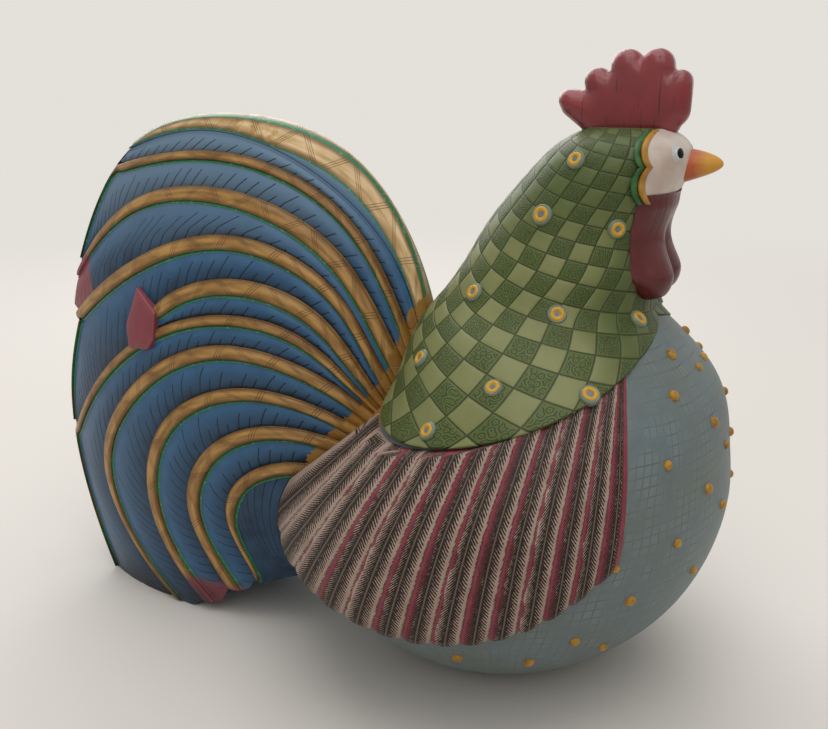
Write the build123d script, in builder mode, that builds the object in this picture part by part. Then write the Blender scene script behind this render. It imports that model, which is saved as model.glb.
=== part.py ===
# Patchwork rooster ornament: hollow painted castings, glued together
# Millimetres, origin on the floor under the foot, beak towards +X, top towards +Z

import os
from math import atan2, cos, degrees, radians, sin, sqrt

from build123d import *

os.makedirs("parts", exist_ok=True)

# Joints between the castings
GLUE = 0.15
LAP = 8.0
FAR = 260.0

# Foot, wall and stopper of the belly
PAD_T = 1.2
PAD_R = 16.5
FOOT_R = 18.0
WALL = 5.0
PLUG_R = 11.0

# Bell of belly, breast, neck and head: height, centre, half length, half width
BELLY = [
    (6.0, 0.0, 31.8, 31.8),
    (16.0, 0.0, 45.8, 45.8),
    (30.0, 0.8, 57.0, 58.0),
    (45.0, 3.3, 61.2, 64.5),
    (60.0, 8.0, 59.0, 66.5),
    (72.0, 13.0, 53.0, 65.0),
]
BREAST = [
    (84.0, 17.5, 46.6, 58.0),
    (92.0, 17.5, 43.0, 52.0),
    (100.0, 15.5, 38.5, 44.0),
    (107.0, 13.6, 33.0, 36.0),
]
NECK = [
    (113.0, 12.8, 27.4, 29.0),
    (122.0, 16.4, 24.8, 25.2),
    (133.0, 19.6, 21.6, 21.6),
    (146.0, 27.0, 18.8, 18.8),
    (155.5, 32.0, 14.4, 15.0),
    (159.5, 33.0, 7.5, 7.5),
]
SECTIONS = [(PAD_T, 0.0, FOOT_R, FOOT_R)] + BELLY + BREAST + NECK

# Cape: how far it stands out, its hem and the hollow under it
CAPE = 2.5
CAPE_WALL = 4.5
HEM_TOP = 96.0
HEM_TILT = 15.7
HEM_FALL = 12.0
NECK_HOLLOW = 134.0

# Face and the two welts round it, seen from the side
CHEEK_X = 42.6
CHEEK_TOP = 160.0
CHEEK_MID = 150.6
CHEEK_LOW = 141.2
SCALLOP = 1.6
JAW_X = 46.0
JAW_Z = 144.0
WELT = 1.5
WELT_RISE = 1.1
WELT_DEPTH = 1.6

# Comb
COMB_T = 9.0
COMB_ROUND = 1.4
TENON = (12.0, 4.0, 6.0)
TENON_X = 28.0

# Beak and its peg
BEAK_TIP = (57.6, 150.8)
BEAK_Z = 149.6
BEAK_W = 5.4
BEAK_H = 5.0
BEAK_PEG_R = 2.2
BEAK_PEG = 5.0

# Eyes, beads and buttons
EYE_R = 1.8
EYE_AT = (47.4, 153.6)
BEAD_R = 1.5
BEAD_X = 12.0
BUTTON_R = 3.5
BUTTON_RISE = 1.3
BUTTON_SEAT = 0.8

# Wings: the outer face is the bell grown and pushed back and down
WING_GROW = 5.2
WING_BACK = 5.5
WING_DOWN = 3.0
WING_INNER = -32.0
WING_SPAN = (20.0, 112.0)
FEATHERS = 14
FEATHER_ROOT_R = 3.0
FEATHER_TIP_R = 4.7
GROOVE = 0.8
GROOVE_DEPTH = 1.0
SHOULDER_FRONT = (41.0, 101.0)
SHOULDER_BACK = (-20.0, 80.5)
TIP_FRONT = (43.0, 62.0)
TIP_LOW = (4.0, 40.6)
TIP_BACK = (-54.5, 51.0)

# Tail: a lens with one round across and a flatter one up and down
TAIL_X = -87.0
TAIL_Z = 52.0
TAIL_HALF = 28.0
TAIL_ROUND = 120.0
TAIL_FLAT = 260.0
FEATHER_T = 6.0
BAND_RISE = 0.9
TIP_RISE = 2.4
SEAM = 0.1
PEG_R = 7.0
PEG_X = -44.0
PEG_Z = 48.0
PEG_LEN = 30.0


def bell(grow):
    """Body, neck and head as one bell, every section grown by the same amount."""
    with BuildPart() as shape:
        for height, middle, half_long, half_wide in SECTIONS:
            level = Plane(origin=(middle, 0, height), x_dir=(0, 1, 0), z_dir=(0, 0, 1))
            with BuildSketch(level):
                Ellipse(half_wide + grow, half_long + grow)
        loft()
    return shape.part


def under_hem(lift):
    """All that lies below the hem: a roof whose ridge rises towards the breast."""
    tilt = radians(HEM_TILT)
    fall = FAR * sin(radians(HEM_FALL)) / cos(radians(HEM_FALL))
    ridge = Plane(
        origin=(0, 0, HEM_TOP + lift),
        x_dir=(0, 1, 0),
        z_dir=(cos(tilt), 0, sin(tilt)),
    )
    with BuildPart() as shape:
        with BuildSketch(ridge):
            with BuildLine():
                Polyline((0, 0), (FAR, -fall), (FAR, -2 * FAR))
                Polyline((FAR, -2 * FAR), (-FAR, -2 * FAR), (-FAR, -fall), (0, 0))
            make_face()
        extrude(amount=FAR, both=True)
    return shape.part


def block(x0, x1, y0, y1, z0, z1):
    """Plain box between two corners, for trimming."""
    with BuildPart() as shape:
        with Locations(((x0 + x1) / 2, (y0 + y1) / 2, (z0 + z1) / 2)):
            Box(x1 - x0, y1 - y0, z1 - z0)
    return shape.part


def side_sheet(sketch, near, far):
    """Extrude a side-view sketch from y = near to y = far."""
    with BuildPart() as shape:
        add(sketch.moved(Location((0, near, 0))))
        extrude(amount=far - near, dir=(0, 1, 0))
    return shape.part


def on_side(target, spots):
    """Points and outward normals where side-view spots meet the right side of a solid."""
    found = []
    for x, z in spots:
        hits = target.find_intersection_points(Axis((x, -FAR, z), (0, 1, 0)))
        point, normal = min(hits, key=lambda hit: hit[0].Y)
        found.append((point, normal))
    return found


def around(target, spots):
    """Points where rays from the middle of the belly, at a turn and a height, leave a solid."""
    found = []
    for turn, height in spots:
        ray = Axis((BEAD_X, 0, height), (cos(radians(turn)), -sin(radians(turn)), 0))
        hits = target.find_intersection_points(ray)
        point, normal = max(hits, key=lambda hit: (hit[0] - ray.position).dot(ray.direction))
        found.append((point, normal))
    return found


BODY_FORM = bell(0)
CAPE_FORM = bell(CAPE)
BODY_CLEAR = bell(GLUE)
CAPE_CLEAR = bell(CAPE + GLUE)

# Beads by turn from the breast and height, buttons by their place in the side view
BEAD_SPOTS = [
    (20.0, 102.0),
    (32.0, 94.5),
    (16.0, 85.0),
    (42.0, 80.5),
    (24.0, 69.5),
    (12.0, 61.0),
    (38.0, 59.0),
    (24.5, 45.5),
    (57.0, 57.0),
    (50.5, 45.0),
    (64.0, 33.0),
    (52.5, 26.5),
    (76.5, 24.0),
    (97.0, 24.0),
    (7.0, 97.0),
    (6.0, 76.0),
]
BUTTON_SPOTS = [
    (23.4, 152.0),
    (16.0, 138.1),
    (34.8, 135.1),
    (-1.1, 116.8),
    (22.7, 113.9),
    (41.0, 111.0),
    (-12.7, 99.7),
    (12.0, 98.4),
    (35.1, 98.0),
    (-3.5, 86.5),
]

# Felt pad under the foot
with BuildPart() as felt_pad:
    Cylinder(PAD_R, PAD_T, align=(Align.CENTER, Align.CENTER, Align.MIN))

# Stopper of the casting hole
with BuildPart() as base_plug:
    with Locations((0, 0, PAD_T)):
        Cylinder(PLUG_R, WALL, align=(Align.CENTER, Align.CENTER, Align.MIN))

# Beads, each a half ball glued to the belly
with BuildPart() as bead:
    Sphere(BEAD_R, arc_size1=0, arc_size2=90)

with BuildPart() as breast_beads:
    for point, normal in around(BODY_FORM, BEAD_SPOTS):
        add(bead.part.moved(Plane(origin=point + normal * GLUE, z_dir=normal).location))
    mirror(about=Plane.XZ)

# Belly casting: open collar under the cape, hole in the foot, socket for the tail
with BuildPart() as body_shell:
    add(BODY_FORM)
    add(under_hem(LAP), mode=Mode.INTERSECT)
    with BuildPart(mode=Mode.PRIVATE) as hollow:
        add(bell(-WALL))
        add(block(-FAR, FAR, -FAR, FAR, PAD_T + WALL, FAR), mode=Mode.INTERSECT)
    add(hollow.part, mode=Mode.SUBTRACT)
    with Locations((0, 0, PAD_T)):
        Cylinder(
            PLUG_R + GLUE, WALL, align=(Align.CENTER, Align.CENTER, Align.MIN), mode=Mode.SUBTRACT
        )
    with Locations(Location((0, 0, PEG_Z), (0, -90, 0))):
        Cylinder(
            PEG_R + GLUE, FAR, align=(Align.CENTER, Align.CENTER, Align.MIN), mode=Mode.SUBTRACT
        )

# Side view of the face: two scallops towards the cape
with BuildSketch(Plane.XZ) as cheek:
    with BuildLine():
        ThreePointArc(
            (CHEEK_X, CHEEK_TOP),
            (CHEEK_X - SCALLOP, (CHEEK_TOP + CHEEK_MID) / 2),
            (CHEEK_X, CHEEK_MID),
        )
        ThreePointArc(
            (CHEEK_X, CHEEK_MID),
            (CHEEK_X - SCALLOP, (CHEEK_MID + CHEEK_LOW) / 2),
            (CHEEK_X, CHEEK_LOW),
        )
        Polyline((CHEEK_X, CHEEK_LOW), (JAW_X, JAW_Z), (FAR, JAW_Z), (FAR, CHEEK_TOP), (CHEEK_X, CHEEK_TOP))
    make_face()

CHEEK = side_sheet(cheek.sketch, -FAR, FAR)


def welt(start, rise):
    """Raised band along the scallops, one welt wide."""
    with BuildPart() as shape:
        add(CHEEK.moved(Location((-start - WELT, 0, 0))))
        add(CHEEK.moved(Location((-start, 0, 0))), mode=Mode.SUBTRACT)
        add(block(0, CHEEK_X - start, -FAR, FAR, CHEEK_LOW, CHEEK_TOP), mode=Mode.INTERSECT)
        add(bell(CAPE + rise), mode=Mode.INTERSECT)
        add(bell(CAPE - WELT_DEPTH), mode=Mode.SUBTRACT)
    return shape.part


with BuildPart() as trim_orange:
    add(welt(GLUE, WELT_RISE))

with BuildPart() as trim_green:
    add(welt(WELT + 2 * GLUE, WELT_RISE + 0.3))

# Comb: five rounded lobes on a low bar, each a hull of a root circle and a tip circle
LOBES = [
    ((24.0, 164.4, 4.2), (17.0, 166.2, 3.0)),
    ((28.0, 164.6, 4.6), (24.3, 171.2, 3.5)),
    ((33.0, 165.0, 5.0), (32.0, 175.0, 4.3)),
    ((38.0, 165.0, 5.0), (39.6, 175.1, 4.4)),
    ((43.6, 164.2, 5.0), (45.6, 171.0, 3.2)),
    ((24.6, 160.4, 4.2), (42.2, 160.8, 4.2)),
    ((24.6, 161.0, 4.2), (17.8, 165.0, 3.2)),
    ((24.6, 170.8, 3.2), (29.6, 170.6, 2.6)),
]

with BuildPart() as comb:
    for root, tip in LOBES:
        with BuildPart(mode=Mode.PRIVATE) as lobe:
            with BuildSketch(Plane.XZ):
                for x, z, radius in (root, tip):
                    with Locations((x, z)):
                        Circle(radius)
                make_hull()
            extrude(amount=COMB_T / 2, both=True)
            rims = lobe.faces().sort_by(Axis.Y)
            fillet(rims[0].edges() + rims[-1].edges(), COMB_ROUND)
        add(lobe.part)
    add(CAPE_CLEAR, mode=Mode.SUBTRACT)
    with Locations((TENON_X, 0, CHEEK_TOP - TENON[2] / 2)):
        Box(*TENON)

with BuildPart() as tenon_slot:
    with Locations((TENON_X, 0, CHEEK_TOP - TENON[2] / 2)):
        Box(TENON[0] + 2 * GLUE, TENON[1] + 2 * GLUE, TENON[2] + 2 * GLUE)

# Buttons of the cape: a low dome on a round seat
BUTTON_PLACES = on_side(CAPE_FORM, BUTTON_SPOTS)

with BuildPart() as button:
    with Locations((0, 0, -BUTTON_SEAT)):
        Cylinder(BUTTON_R, BUTTON_SEAT + BUTTON_RISE, align=(Align.CENTER, Align.CENTER, Align.MIN))
    fillet(button.faces().sort_by(Axis.Z)[-1].edges(), BUTTON_RISE * 0.9)

with BuildPart() as seat:
    with Locations((0, 0, -BUTTON_SEAT - GLUE)):
        Cylinder(BUTTON_R + GLUE, 3 * BUTTON_RISE, align=(Align.CENTER, Align.CENTER, Align.MIN))

with BuildPart() as cape_buttons_right:
    for point, normal in BUTTON_PLACES:
        add(button.part.moved(Plane(origin=point, z_dir=normal).location))

with BuildPart() as cape_buttons_left:
    mirror(cape_buttons_right.part, about=Plane.XZ)

with BuildPart() as button_seats:
    for point, normal in BUTTON_PLACES:
        add(seat.part.moved(Plane(origin=point, z_dir=normal).location))
    mirror(about=Plane.XZ)

# Cape, neck and crown in one casting that drops over the collar of the belly
with BuildPart() as neck_cape:
    add(CAPE_FORM)
    add(under_hem(0), mode=Mode.SUBTRACT)
    with BuildPart(mode=Mode.PRIVATE) as collar_room:
        add(BODY_CLEAR)
        add(under_hem(LAP + GLUE), mode=Mode.INTERSECT)
    add(collar_room.part, mode=Mode.SUBTRACT)
    with BuildPart(mode=Mode.PRIVATE) as neck_room:
        add(bell(CAPE - CAPE_WALL))
        add(block(-FAR, FAR, -FAR, FAR, 0, NECK_HOLLOW), mode=Mode.INTERSECT)
    add(neck_room.part, mode=Mode.SUBTRACT)
    add(CHEEK.moved(Location((-2 * WELT - 3 * GLUE, 0, 0))), mode=Mode.SUBTRACT)
    add(CHEEK.moved(Location((-2 * WELT - 3 * GLUE, 0, -2 * GLUE))), mode=Mode.SUBTRACT)
    add(CHEEK.moved(Location((0, 0, -2 * GLUE))), mode=Mode.SUBTRACT)
    add(tenon_slot.part, mode=Mode.SUBTRACT)
    add(button_seats.part, mode=Mode.SUBTRACT)

# Beak: a short cone with a round peg
with BuildPart() as beak_form:
    with BuildSketch(Plane(origin=(JAW_X - 3, 0, BEAK_Z), x_dir=(0, 1, 0), z_dir=(1, 0, 0))):
        Ellipse(BEAK_W, BEAK_H)
    with BuildSketch(Plane(origin=(JAW_X + 5.5, 0, BEAK_Z + 0.7), x_dir=(0, 1, 0), z_dir=(1, 0, 0))):
        Ellipse(BEAK_W * 0.66, BEAK_H * 0.7)
    with BuildSketch(Plane(origin=(BEAK_TIP[0], 0, BEAK_TIP[1]), x_dir=(0, 1, 0), z_dir=(1, 0, 0))):
        Ellipse(BEAK_W * 0.2, BEAK_H * 0.2)
    loft()

with BuildPart() as beak:
    add(beak_form.part)
    add(CAPE_FORM, mode=Mode.SUBTRACT)
    with Locations(Location((JAW_X + 3, 0, BEAK_Z), (0, -90, 0))):
        Cylinder(BEAK_PEG_R, BEAK_PEG + 3, align=(Align.CENTER, Align.CENTER, Align.MIN))

# Face, with sockets for beak and eyes
FACE_FORM = bell(CAPE - GLUE)
EYE_PLACES = on_side(FACE_FORM, [EYE_AT])

with BuildPart() as eye_right:
    for point, normal in EYE_PLACES:
        with Locations(point):
            Sphere(EYE_R)

with BuildPart() as eye_left:
    mirror(eye_right.part, about=Plane.XZ)

with BuildPart() as face:
    add(CHEEK.moved(Location((-2 * WELT - 2 * GLUE, 0, 0))))
    add(bell(CAPE - WELT_DEPTH - GLUE), mode=Mode.INTERSECT)
    with BuildPart(mode=Mode.PRIVATE) as mask:
        add(CHEEK.moved(Location((GLUE, 0, 0))))
        add(FACE_FORM, mode=Mode.INTERSECT)
    add(mask.part)
    with Locations(Location((JAW_X + 3, 0, BEAK_Z), (0, -90, 0))):
        Cylinder(
            BEAK_PEG_R + GLUE,
            BEAK_PEG + 3 + GLUE,
            align=(Align.CENTER, Align.CENTER, Align.MIN),
            mode=Mode.SUBTRACT,
        )
    for point, normal in EYE_PLACES:
        for side in (1, -1):
            with Locations((point.X, side * point.Y, point.Z)):
                Sphere(EYE_R + GLUE, mode=Mode.SUBTRACT)

# Wattles: two drops that hang side by side against the neck
WATTLE = [
    (143.6, 41.4, -5.4, 4.6),
    (138.0, 36.6, -4.7, 9.0),
    (131.0, 35.4, -5.3, 9.0),
    (125.0, 39.4, -7.2, 7.5),
    (121.0, 40.6, -8.0, 7.5),
    (117.0, 40.7, -8.6, 6.3),
    (114.6, 41.5, -9.0, 2.8),
]
with BuildPart() as wattle_right:
    for height, x, y, radius in WATTLE:
        with BuildSketch(Plane.XY.offset(height)):
            with Locations((x, y)):
                Circle(radius)
    loft()
    add(CAPE_CLEAR, mode=Mode.SUBTRACT)
    add(block(-FAR, FAR, -FAR, -GLUE, -FAR, FAR), mode=Mode.INTERSECT)

with BuildPart() as wattle_left:
    mirror(wattle_right.part, about=Plane.XZ)

# Wing, seen from the right side: slender feathers that fan out from the shoulder


def along(a, b, share):
    """Point at a share of the straight way from a to b."""
    return tuple(p + (q - p) * share for p, q in zip(a, b))


def tip_at(share):
    """Point at a share of the bend through the front, low and rear feather tips."""
    bend = [2 * m - (p + q) / 2 for p, m, q in zip(TIP_FRONT, TIP_LOW, TIP_BACK)]
    return along(along(TIP_FRONT, bend, share), along(bend, TIP_BACK, share), share)


with BuildSketch(Plane.XZ) as wing_side:
    for step in range(FEATHERS):
        share = step / (FEATHERS - 1)
        with BuildSketch(Plane.XZ, mode=Mode.PRIVATE) as feather:
            with Locations(along(SHOULDER_FRONT, SHOULDER_BACK, share)):
                Circle(FEATHER_ROOT_R)
            with Locations(tip_at(share)):
                Circle(FEATHER_TIP_R)
            make_hull()
        add(feather.sketch)

with BuildSketch(Plane.XZ) as feather_lines:
    for step in range(FEATHERS - 1):
        share = (step + 0.5) / (FEATHERS - 1)
        root = along(SHOULDER_FRONT, SHOULDER_BACK, share)
        tip = tip_at(share)
        run = (tip[0] - root[0], tip[1] - root[1])
        with Locations(along(root, tip, 0.5)):
            Rectangle(1.2 * sqrt(run[0] ** 2 + run[1] ** 2), GROOVE, rotation=degrees(atan2(run[1], run[0])))

with BuildPart() as wing_right:
    add(bell(WING_GROW).moved(Location((-WING_BACK, 0, -WING_DOWN))))
    add(block(-FAR, FAR, -FAR, WING_INNER, *WING_SPAN), mode=Mode.INTERSECT)
    with BuildPart(mode=Mode.PRIVATE) as flank:
        add(BODY_CLEAR)
        add(block(-FAR, FAR, -FAR, FAR, WING_SPAN[0] - LAP, WING_SPAN[1] + LAP), mode=Mode.INTERSECT)
    add(flank.part, mode=Mode.SUBTRACT)
    add(side_sheet(wing_side.sketch, -FAR, WING_INNER), mode=Mode.INTERSECT)
    add(under_hem(-GLUE), mode=Mode.INTERSECT)
    with BuildPart(mode=Mode.PRIVATE) as grooves:
        add(side_sheet(feather_lines.sketch, -FAR, WING_INNER))
        add(
            bell(WING_GROW - GROOVE_DEPTH).moved(Location((-WING_BACK, 0, -WING_DOWN))),
            mode=Mode.SUBTRACT,
        )
    add(grooves.part, mode=Mode.SUBTRACT)

with BuildPart() as wing_left:
    mirror(wing_right.part, about=Plane.XZ)

# Tail outline, seen from the side: ridge, rear edge, floor and underside
with BuildSketch(Plane.XZ) as tail_side:
    with BuildLine():
        Spline((-20.0, 84.0), (-27.0, 119.0), (-46.0, 147.0), (-92.0, 160.5), (-127.0, 150.5))
        Spline((-127.0, 150.5), (-143.0, 132.0), (-154.0, 106.0), (-157.0, 95.0))
        Polyline((-157.0, 95.0), (-149.5, 92.5))
        Spline((-149.5, 92.5), (-158.0, 66.0), (-150.0, 23.0), (-142.0, 0.0))
        Line((-142.0, 0.0), (-95.0, 0.0))
        Spline((-95.0, 0.0), (-80.0, 10.5), (-57.0, 20.0), (-20.0, 24.0))
        Line((-20.0, 24.0), (-20.0, 84.0))
    make_face()

# Upper edge of each sickle feather, from the root to the tip
EDGES = [
    [(-20.0, 78.0), (-32.0, 119.0), (-63.0, 148.0), (-96.0, 156.4), (-127.0, 150.0), (-145.0, 143.0)],
    [(-20.0, 74.0), (-31.0, 107.0), (-50.0, 135.0), (-83.0, 149.5), (-111.0, 149.0), (-145.0, 141.0)],
    [(-20.0, 70.0), (-33.0, 99.0), (-49.0, 123.0), (-80.0, 138.5), (-120.0, 135.0), (-164.0, 96.0)],
    [(-20.0, 66.0), (-33.0, 87.0), (-47.0, 110.0), (-80.0, 126.0), (-119.0, 116.0), (-162.0, 87.0)],
    [(-20.0, 62.0), (-36.0, 83.0), (-52.0, 104.0), (-80.0, 113.5), (-108.0, 103.0), (-120.0, 86.0)],
    [(-20.0, 60.0), (-38.0, 80.0), (-58.0, 98.0), (-84.0, 102.5), (-122.0, 87.0), (-164.0, 42.0)],
    [
        (-20.0, 58.0), (-46.0, 83.0), (-83.0, 93.5), (-121.0, 73.0),
        (-136.0, 43.0), (-128.0, 23.0), (-100.0, -6.0),
    ],
    [
        (-20.0, 54.0), (-46.0, 74.0), (-75.0, 81.0), (-103.0, 68.0),
        (-113.0, 44.0), (-108.0, 22.0), (-86.0, -6.0),
    ],
    [
        (-20.0, 50.0), (-45.0, 66.0), (-63.0, 70.0), (-85.0, 62.5),
        (-96.0, 41.0), (-91.0, 24.0), (-74.0, -6.0),
    ],
    [
        (-20.0, 46.0), (-48.0, 57.5), (-62.0, 58.5), (-77.0, 51.0),
        (-81.5, 40.0), (-78.0, 28.0), (-62.0, -6.0),
    ],
]
# How far each gold band reaches below its edge, backwards and down
BANDS = [
    (0.0, 0.0),
    (0.0, 2.6),
    (0.0, 4.6),
    (0.0, 5.0),
    (0.0, 5.0),
    (0.0, 3.2),
    (4.0, 4.4),
    (4.0, 4.2),
    (4.4, 4.4),
    (4.2, 3.4),
]

# The short feather ends on the edge below it, and those from LOW_FROM on sweep down to the floor
SHORT = 4
LOW_FROM = 6


def below(index, back=0.0, down=0.0):
    """Side-view area below one feather edge, moved forwards and down."""
    path = [(x + back, z - down) for x, z in EDGES[index]]
    last = path[-1]
    with BuildSketch(Plane.XZ) as area:
        with BuildLine():
            Spline(*path)
            if last[1] > 0 and index != SHORT:
                Polyline(last, (-FAR, last[1]), (-FAR, -FAR), (FAR, -FAR), (FAR, path[0][1]), path[0])
            else:
                Polyline(last, (last[0], -FAR), (FAR, -FAR), (FAR, path[0][1]), path[0])
        make_face()
        if index == SHORT:
            add(below(index + 1, back, down))
    return area.sketch


def barrel(grow):
    """Solid whose near face is one side of the tail, grown sideways."""
    axis_y = TAIL_ROUND - TAIL_HALF
    top = 115.0
    drop = TAIL_FLAT - sqrt(TAIL_FLAT**2 - top**2)
    edge = TAIL_ROUND + grow
    with BuildPart() as shape:
        with BuildSketch(Plane(origin=(TAIL_X, axis_y, TAIL_Z), x_dir=(0, -1, 0), z_dir=(-1, 0, 0))):
            with BuildLine():
                ThreePointArc((edge - drop, -top), (edge, 0), (edge - drop, top))
                Polyline((edge - drop, top), (0, top), (0, -top), (edge - drop, -top))
            make_face()
        revolve(axis=Axis((TAIL_X, axis_y, 0), (0, 0, 1)))
    return shape.part


def lens(grow):
    """The whole tail between its two faces."""
    with BuildPart() as shape:
        add(barrel(grow))
        with BuildPart(mode=Mode.PRIVATE) as other:
            mirror(barrel(grow), about=Plane.XZ)
        add(other.part, mode=Mode.INTERSECT)
    return shape.part


RIGHT_HALF = block(-FAR, FAR, -FAR, -SEAM, -FAR, FAR)
CORE_CLEAR = lens(-FEATHER_T)


def right_skin(grow):
    """Right-hand layer of feathers, from the core out to the grown face."""
    with BuildPart() as shape:
        add(barrel(grow))
        add(RIGHT_HALF, mode=Mode.INTERSECT)
        add(CORE_CLEAR, mode=Mode.SUBTRACT)
        add(CAPE_CLEAR, mode=Mode.SUBTRACT)
    return shape.part


VANE_SKIN = right_skin(0)
BAND_SKIN = right_skin(BAND_RISE)
TONGUE_SKIN = right_skin(TIP_RISE)

# Blunt tongue at the end of one upper feather, lying over its neighbours
TONGUE_OF = 3
with BuildSketch(Plane.XZ) as tongue_side:
    with BuildLine():
        Spline(
            (-114.8, 108.2),
            (-106.0, 101.4),
            (-106.4, 93.0),
            (-108.6, 89.6),
            (-117.4, 89.0),
            (-119.0, 96.0),
            (-114.8, 108.2),
            periodic=False,
        )
    make_face()

# Core of the tail with its peg
with BuildPart() as tail_core:
    with BuildSketch(Plane.XZ) as core_area:
        add(tail_side.sketch)
        add(below(0), mode=Mode.INTERSECT)
    add(side_sheet(core_area.sketch, -FAR, FAR), mode=Mode.REPLACE)
    add(lens(-FEATHER_T - GLUE), mode=Mode.INTERSECT)
    add(BODY_CLEAR, mode=Mode.SUBTRACT)
    with BuildPart(mode=Mode.PRIVATE) as cape_over:
        add(CAPE_CLEAR)
        add(under_hem(-GLUE), mode=Mode.SUBTRACT)
    add(cape_over.part, mode=Mode.SUBTRACT)
    with Locations(Location((PEG_X, 0, PEG_Z), (0, -90, 0))):
        Cylinder(PEG_R, PEG_LEN, align=(Align.CENTER, Align.CENTER, Align.MIN))

# Gold welt along the top of the tail
with BuildPart() as tail_ridge:
    with BuildSketch(Plane.XZ) as ridge_area:
        add(tail_side.sketch)
        add(below(0, 0, -GLUE), mode=Mode.SUBTRACT)
    ridge_sheet = side_sheet(ridge_area.sketch, -FAR, FAR)
    add(ridge_sheet, mode=Mode.REPLACE)
    add(lens(BAND_RISE), mode=Mode.INTERSECT)
    add(CAPE_CLEAR, mode=Mode.SUBTRACT)


def sickle(index):
    """One feather: flat vane with a raised band along its upper edge."""
    low = index + 1 >= LOW_FROM
    shift = (-0.85 * GLUE, -0.75 * GLUE) if low else (0.0, -GLUE)
    with BuildSketch(Plane.XZ) as area:
        add(tail_side.sketch)
        add(below(index), mode=Mode.INTERSECT)
        if index + 1 < len(EDGES):
            add(below(index + 1, *shift), mode=Mode.SUBTRACT)
    with BuildSketch(Plane.XZ) as vane:
        add(area.sketch)
        add(below(index, *BANDS[index]), mode=Mode.INTERSECT)
    with BuildPart() as shape:
        add(side_sheet(vane.sketch, -FAR, 0))
        add(VANE_SKIN, mode=Mode.INTERSECT)
    with BuildPart() as rim:
        if index > 0:
            with BuildSketch(Plane.XZ) as band:
                add(area.sketch)
                add(below(index, *BANDS[index]), mode=Mode.SUBTRACT)
            add(side_sheet(band.sketch, -FAR, 0), mode=Mode.REPLACE)
            add(BAND_SKIN, mode=Mode.INTERSECT)
    with BuildPart() as both:
        add(shape.part)
        if index > 0:
            add(rim.part)
        if index == TONGUE_OF:
            with BuildSketch(Plane.XZ) as tongue_root:
                add(tongue_side.sketch)
                add(area.sketch, mode=Mode.INTERSECT)
            with BuildPart(mode=Mode.PRIVATE) as tongue:
                add(side_sheet(tongue_side.sketch, -FAR, 0))
                add(barrel(BAND_RISE + GLUE), mode=Mode.SUBTRACT)
                add(side_sheet(tongue_root.sketch, -FAR, 0))
                add(TONGUE_SKIN, mode=Mode.INTERSECT)
            add(tongue.part)
    return both.part


NODES = {
    "felt_pad": felt_pad.part,
    "base_plug": base_plug.part,
    "body_shell": body_shell.part,
    "breast_beads": breast_beads.part,
    "neck_cape": neck_cape.part,
    "cape_buttons_right": cape_buttons_right.part,
    "cape_buttons_left": cape_buttons_left.part,
    "face": face.part,
    "trim_green": trim_green.part,
    "trim_orange": trim_orange.part,
    "comb": comb.part,
    "beak": beak.part,
    "eye_right": eye_right.part,
    "eye_left": eye_left.part,
    "wattle_right": wattle_right.part,
    "wattle_left": wattle_left.part,
    "wing_right": wing_right.part,
    "wing_left": wing_left.part,
    "tail_core": tail_core.part,
    "tail_ridge": tail_ridge.part,
}

for number in range(len(EDGES)):
    with BuildPart() as feather_right:
        add(sickle(number))
    with BuildPart() as feather_left:
        mirror(feather_right.part, about=Plane.XZ)
    NODES["tail_right_%02d" % (number + 1)] = feather_right.part
    NODES["tail_left_%02d" % (number + 1)] = feather_left.part

for name, solid in NODES.items():
    solid.label = name
    export_step(solid, "parts/" + name + ".step")
    print(name, "solids", len(solid.solids()), "volume", round(solid.volume), "valid", solid.is_valid)
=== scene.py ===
"""Looks of the patchwork rooster ornament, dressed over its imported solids.

Shapes are worked out in millimetres in the part's own frame and put into the meshes in metres:
origin on the table under the foot, beak towards +X, right side towards -Y, comb towards +Z.
"""

import logging
from dataclasses import dataclass
from enum import Enum
from math import cos, pi, radians, sin, tan
from typing import Iterable, Sequence

import bmesh
import bpy
import numpy as np
from mathutils import Matrix, Vector


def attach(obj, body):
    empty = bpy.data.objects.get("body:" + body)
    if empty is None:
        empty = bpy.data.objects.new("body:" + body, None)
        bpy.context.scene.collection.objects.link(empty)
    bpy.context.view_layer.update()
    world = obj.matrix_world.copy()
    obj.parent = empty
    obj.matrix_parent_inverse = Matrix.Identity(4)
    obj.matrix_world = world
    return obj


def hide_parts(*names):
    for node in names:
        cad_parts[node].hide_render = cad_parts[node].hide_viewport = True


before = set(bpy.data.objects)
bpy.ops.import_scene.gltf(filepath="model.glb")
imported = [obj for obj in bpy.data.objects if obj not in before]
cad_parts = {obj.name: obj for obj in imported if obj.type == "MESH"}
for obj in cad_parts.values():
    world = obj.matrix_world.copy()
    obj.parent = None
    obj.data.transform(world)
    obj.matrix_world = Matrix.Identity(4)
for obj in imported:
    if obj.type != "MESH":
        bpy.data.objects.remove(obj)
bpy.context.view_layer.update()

MM = 0.001
WELD = 0.000004
CRISP_EDGE = 40.0
SOFT_EDGE = 50.0
ROUND_EDGE = 60.0
MELTED_EDGE = 80.0
FULL_TURN = 2 * pi
ROOT = "root"
LOG = logging.getLogger("rooster")
Feeds = dict[str, bpy.types.NodeSocket]


class Side(Enum):
    """Which half of the bird a piece belongs to, as the sign that mirrors it."""

    RIGHT = 1.0
    LEFT = -1.0


# Colour, nodes and curves


def linear(code: str) -> tuple[float, float, float, float]:
    """Linear colour of an sRGB hex value.

    Args:
        code: Six hex digits after a hash.

    Returns:
        Red, green, blue and a full alpha.
    """
    shares = [int(code[i : i + 2], 16) / 255 for i in (1, 3, 5)]
    tones = [c / 12.92 if c <= 0.04045 else ((c + 0.055) / 1.055) ** 2.4 for c in shares]
    return (tones[0], tones[1], tones[2], 1.0)


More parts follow.
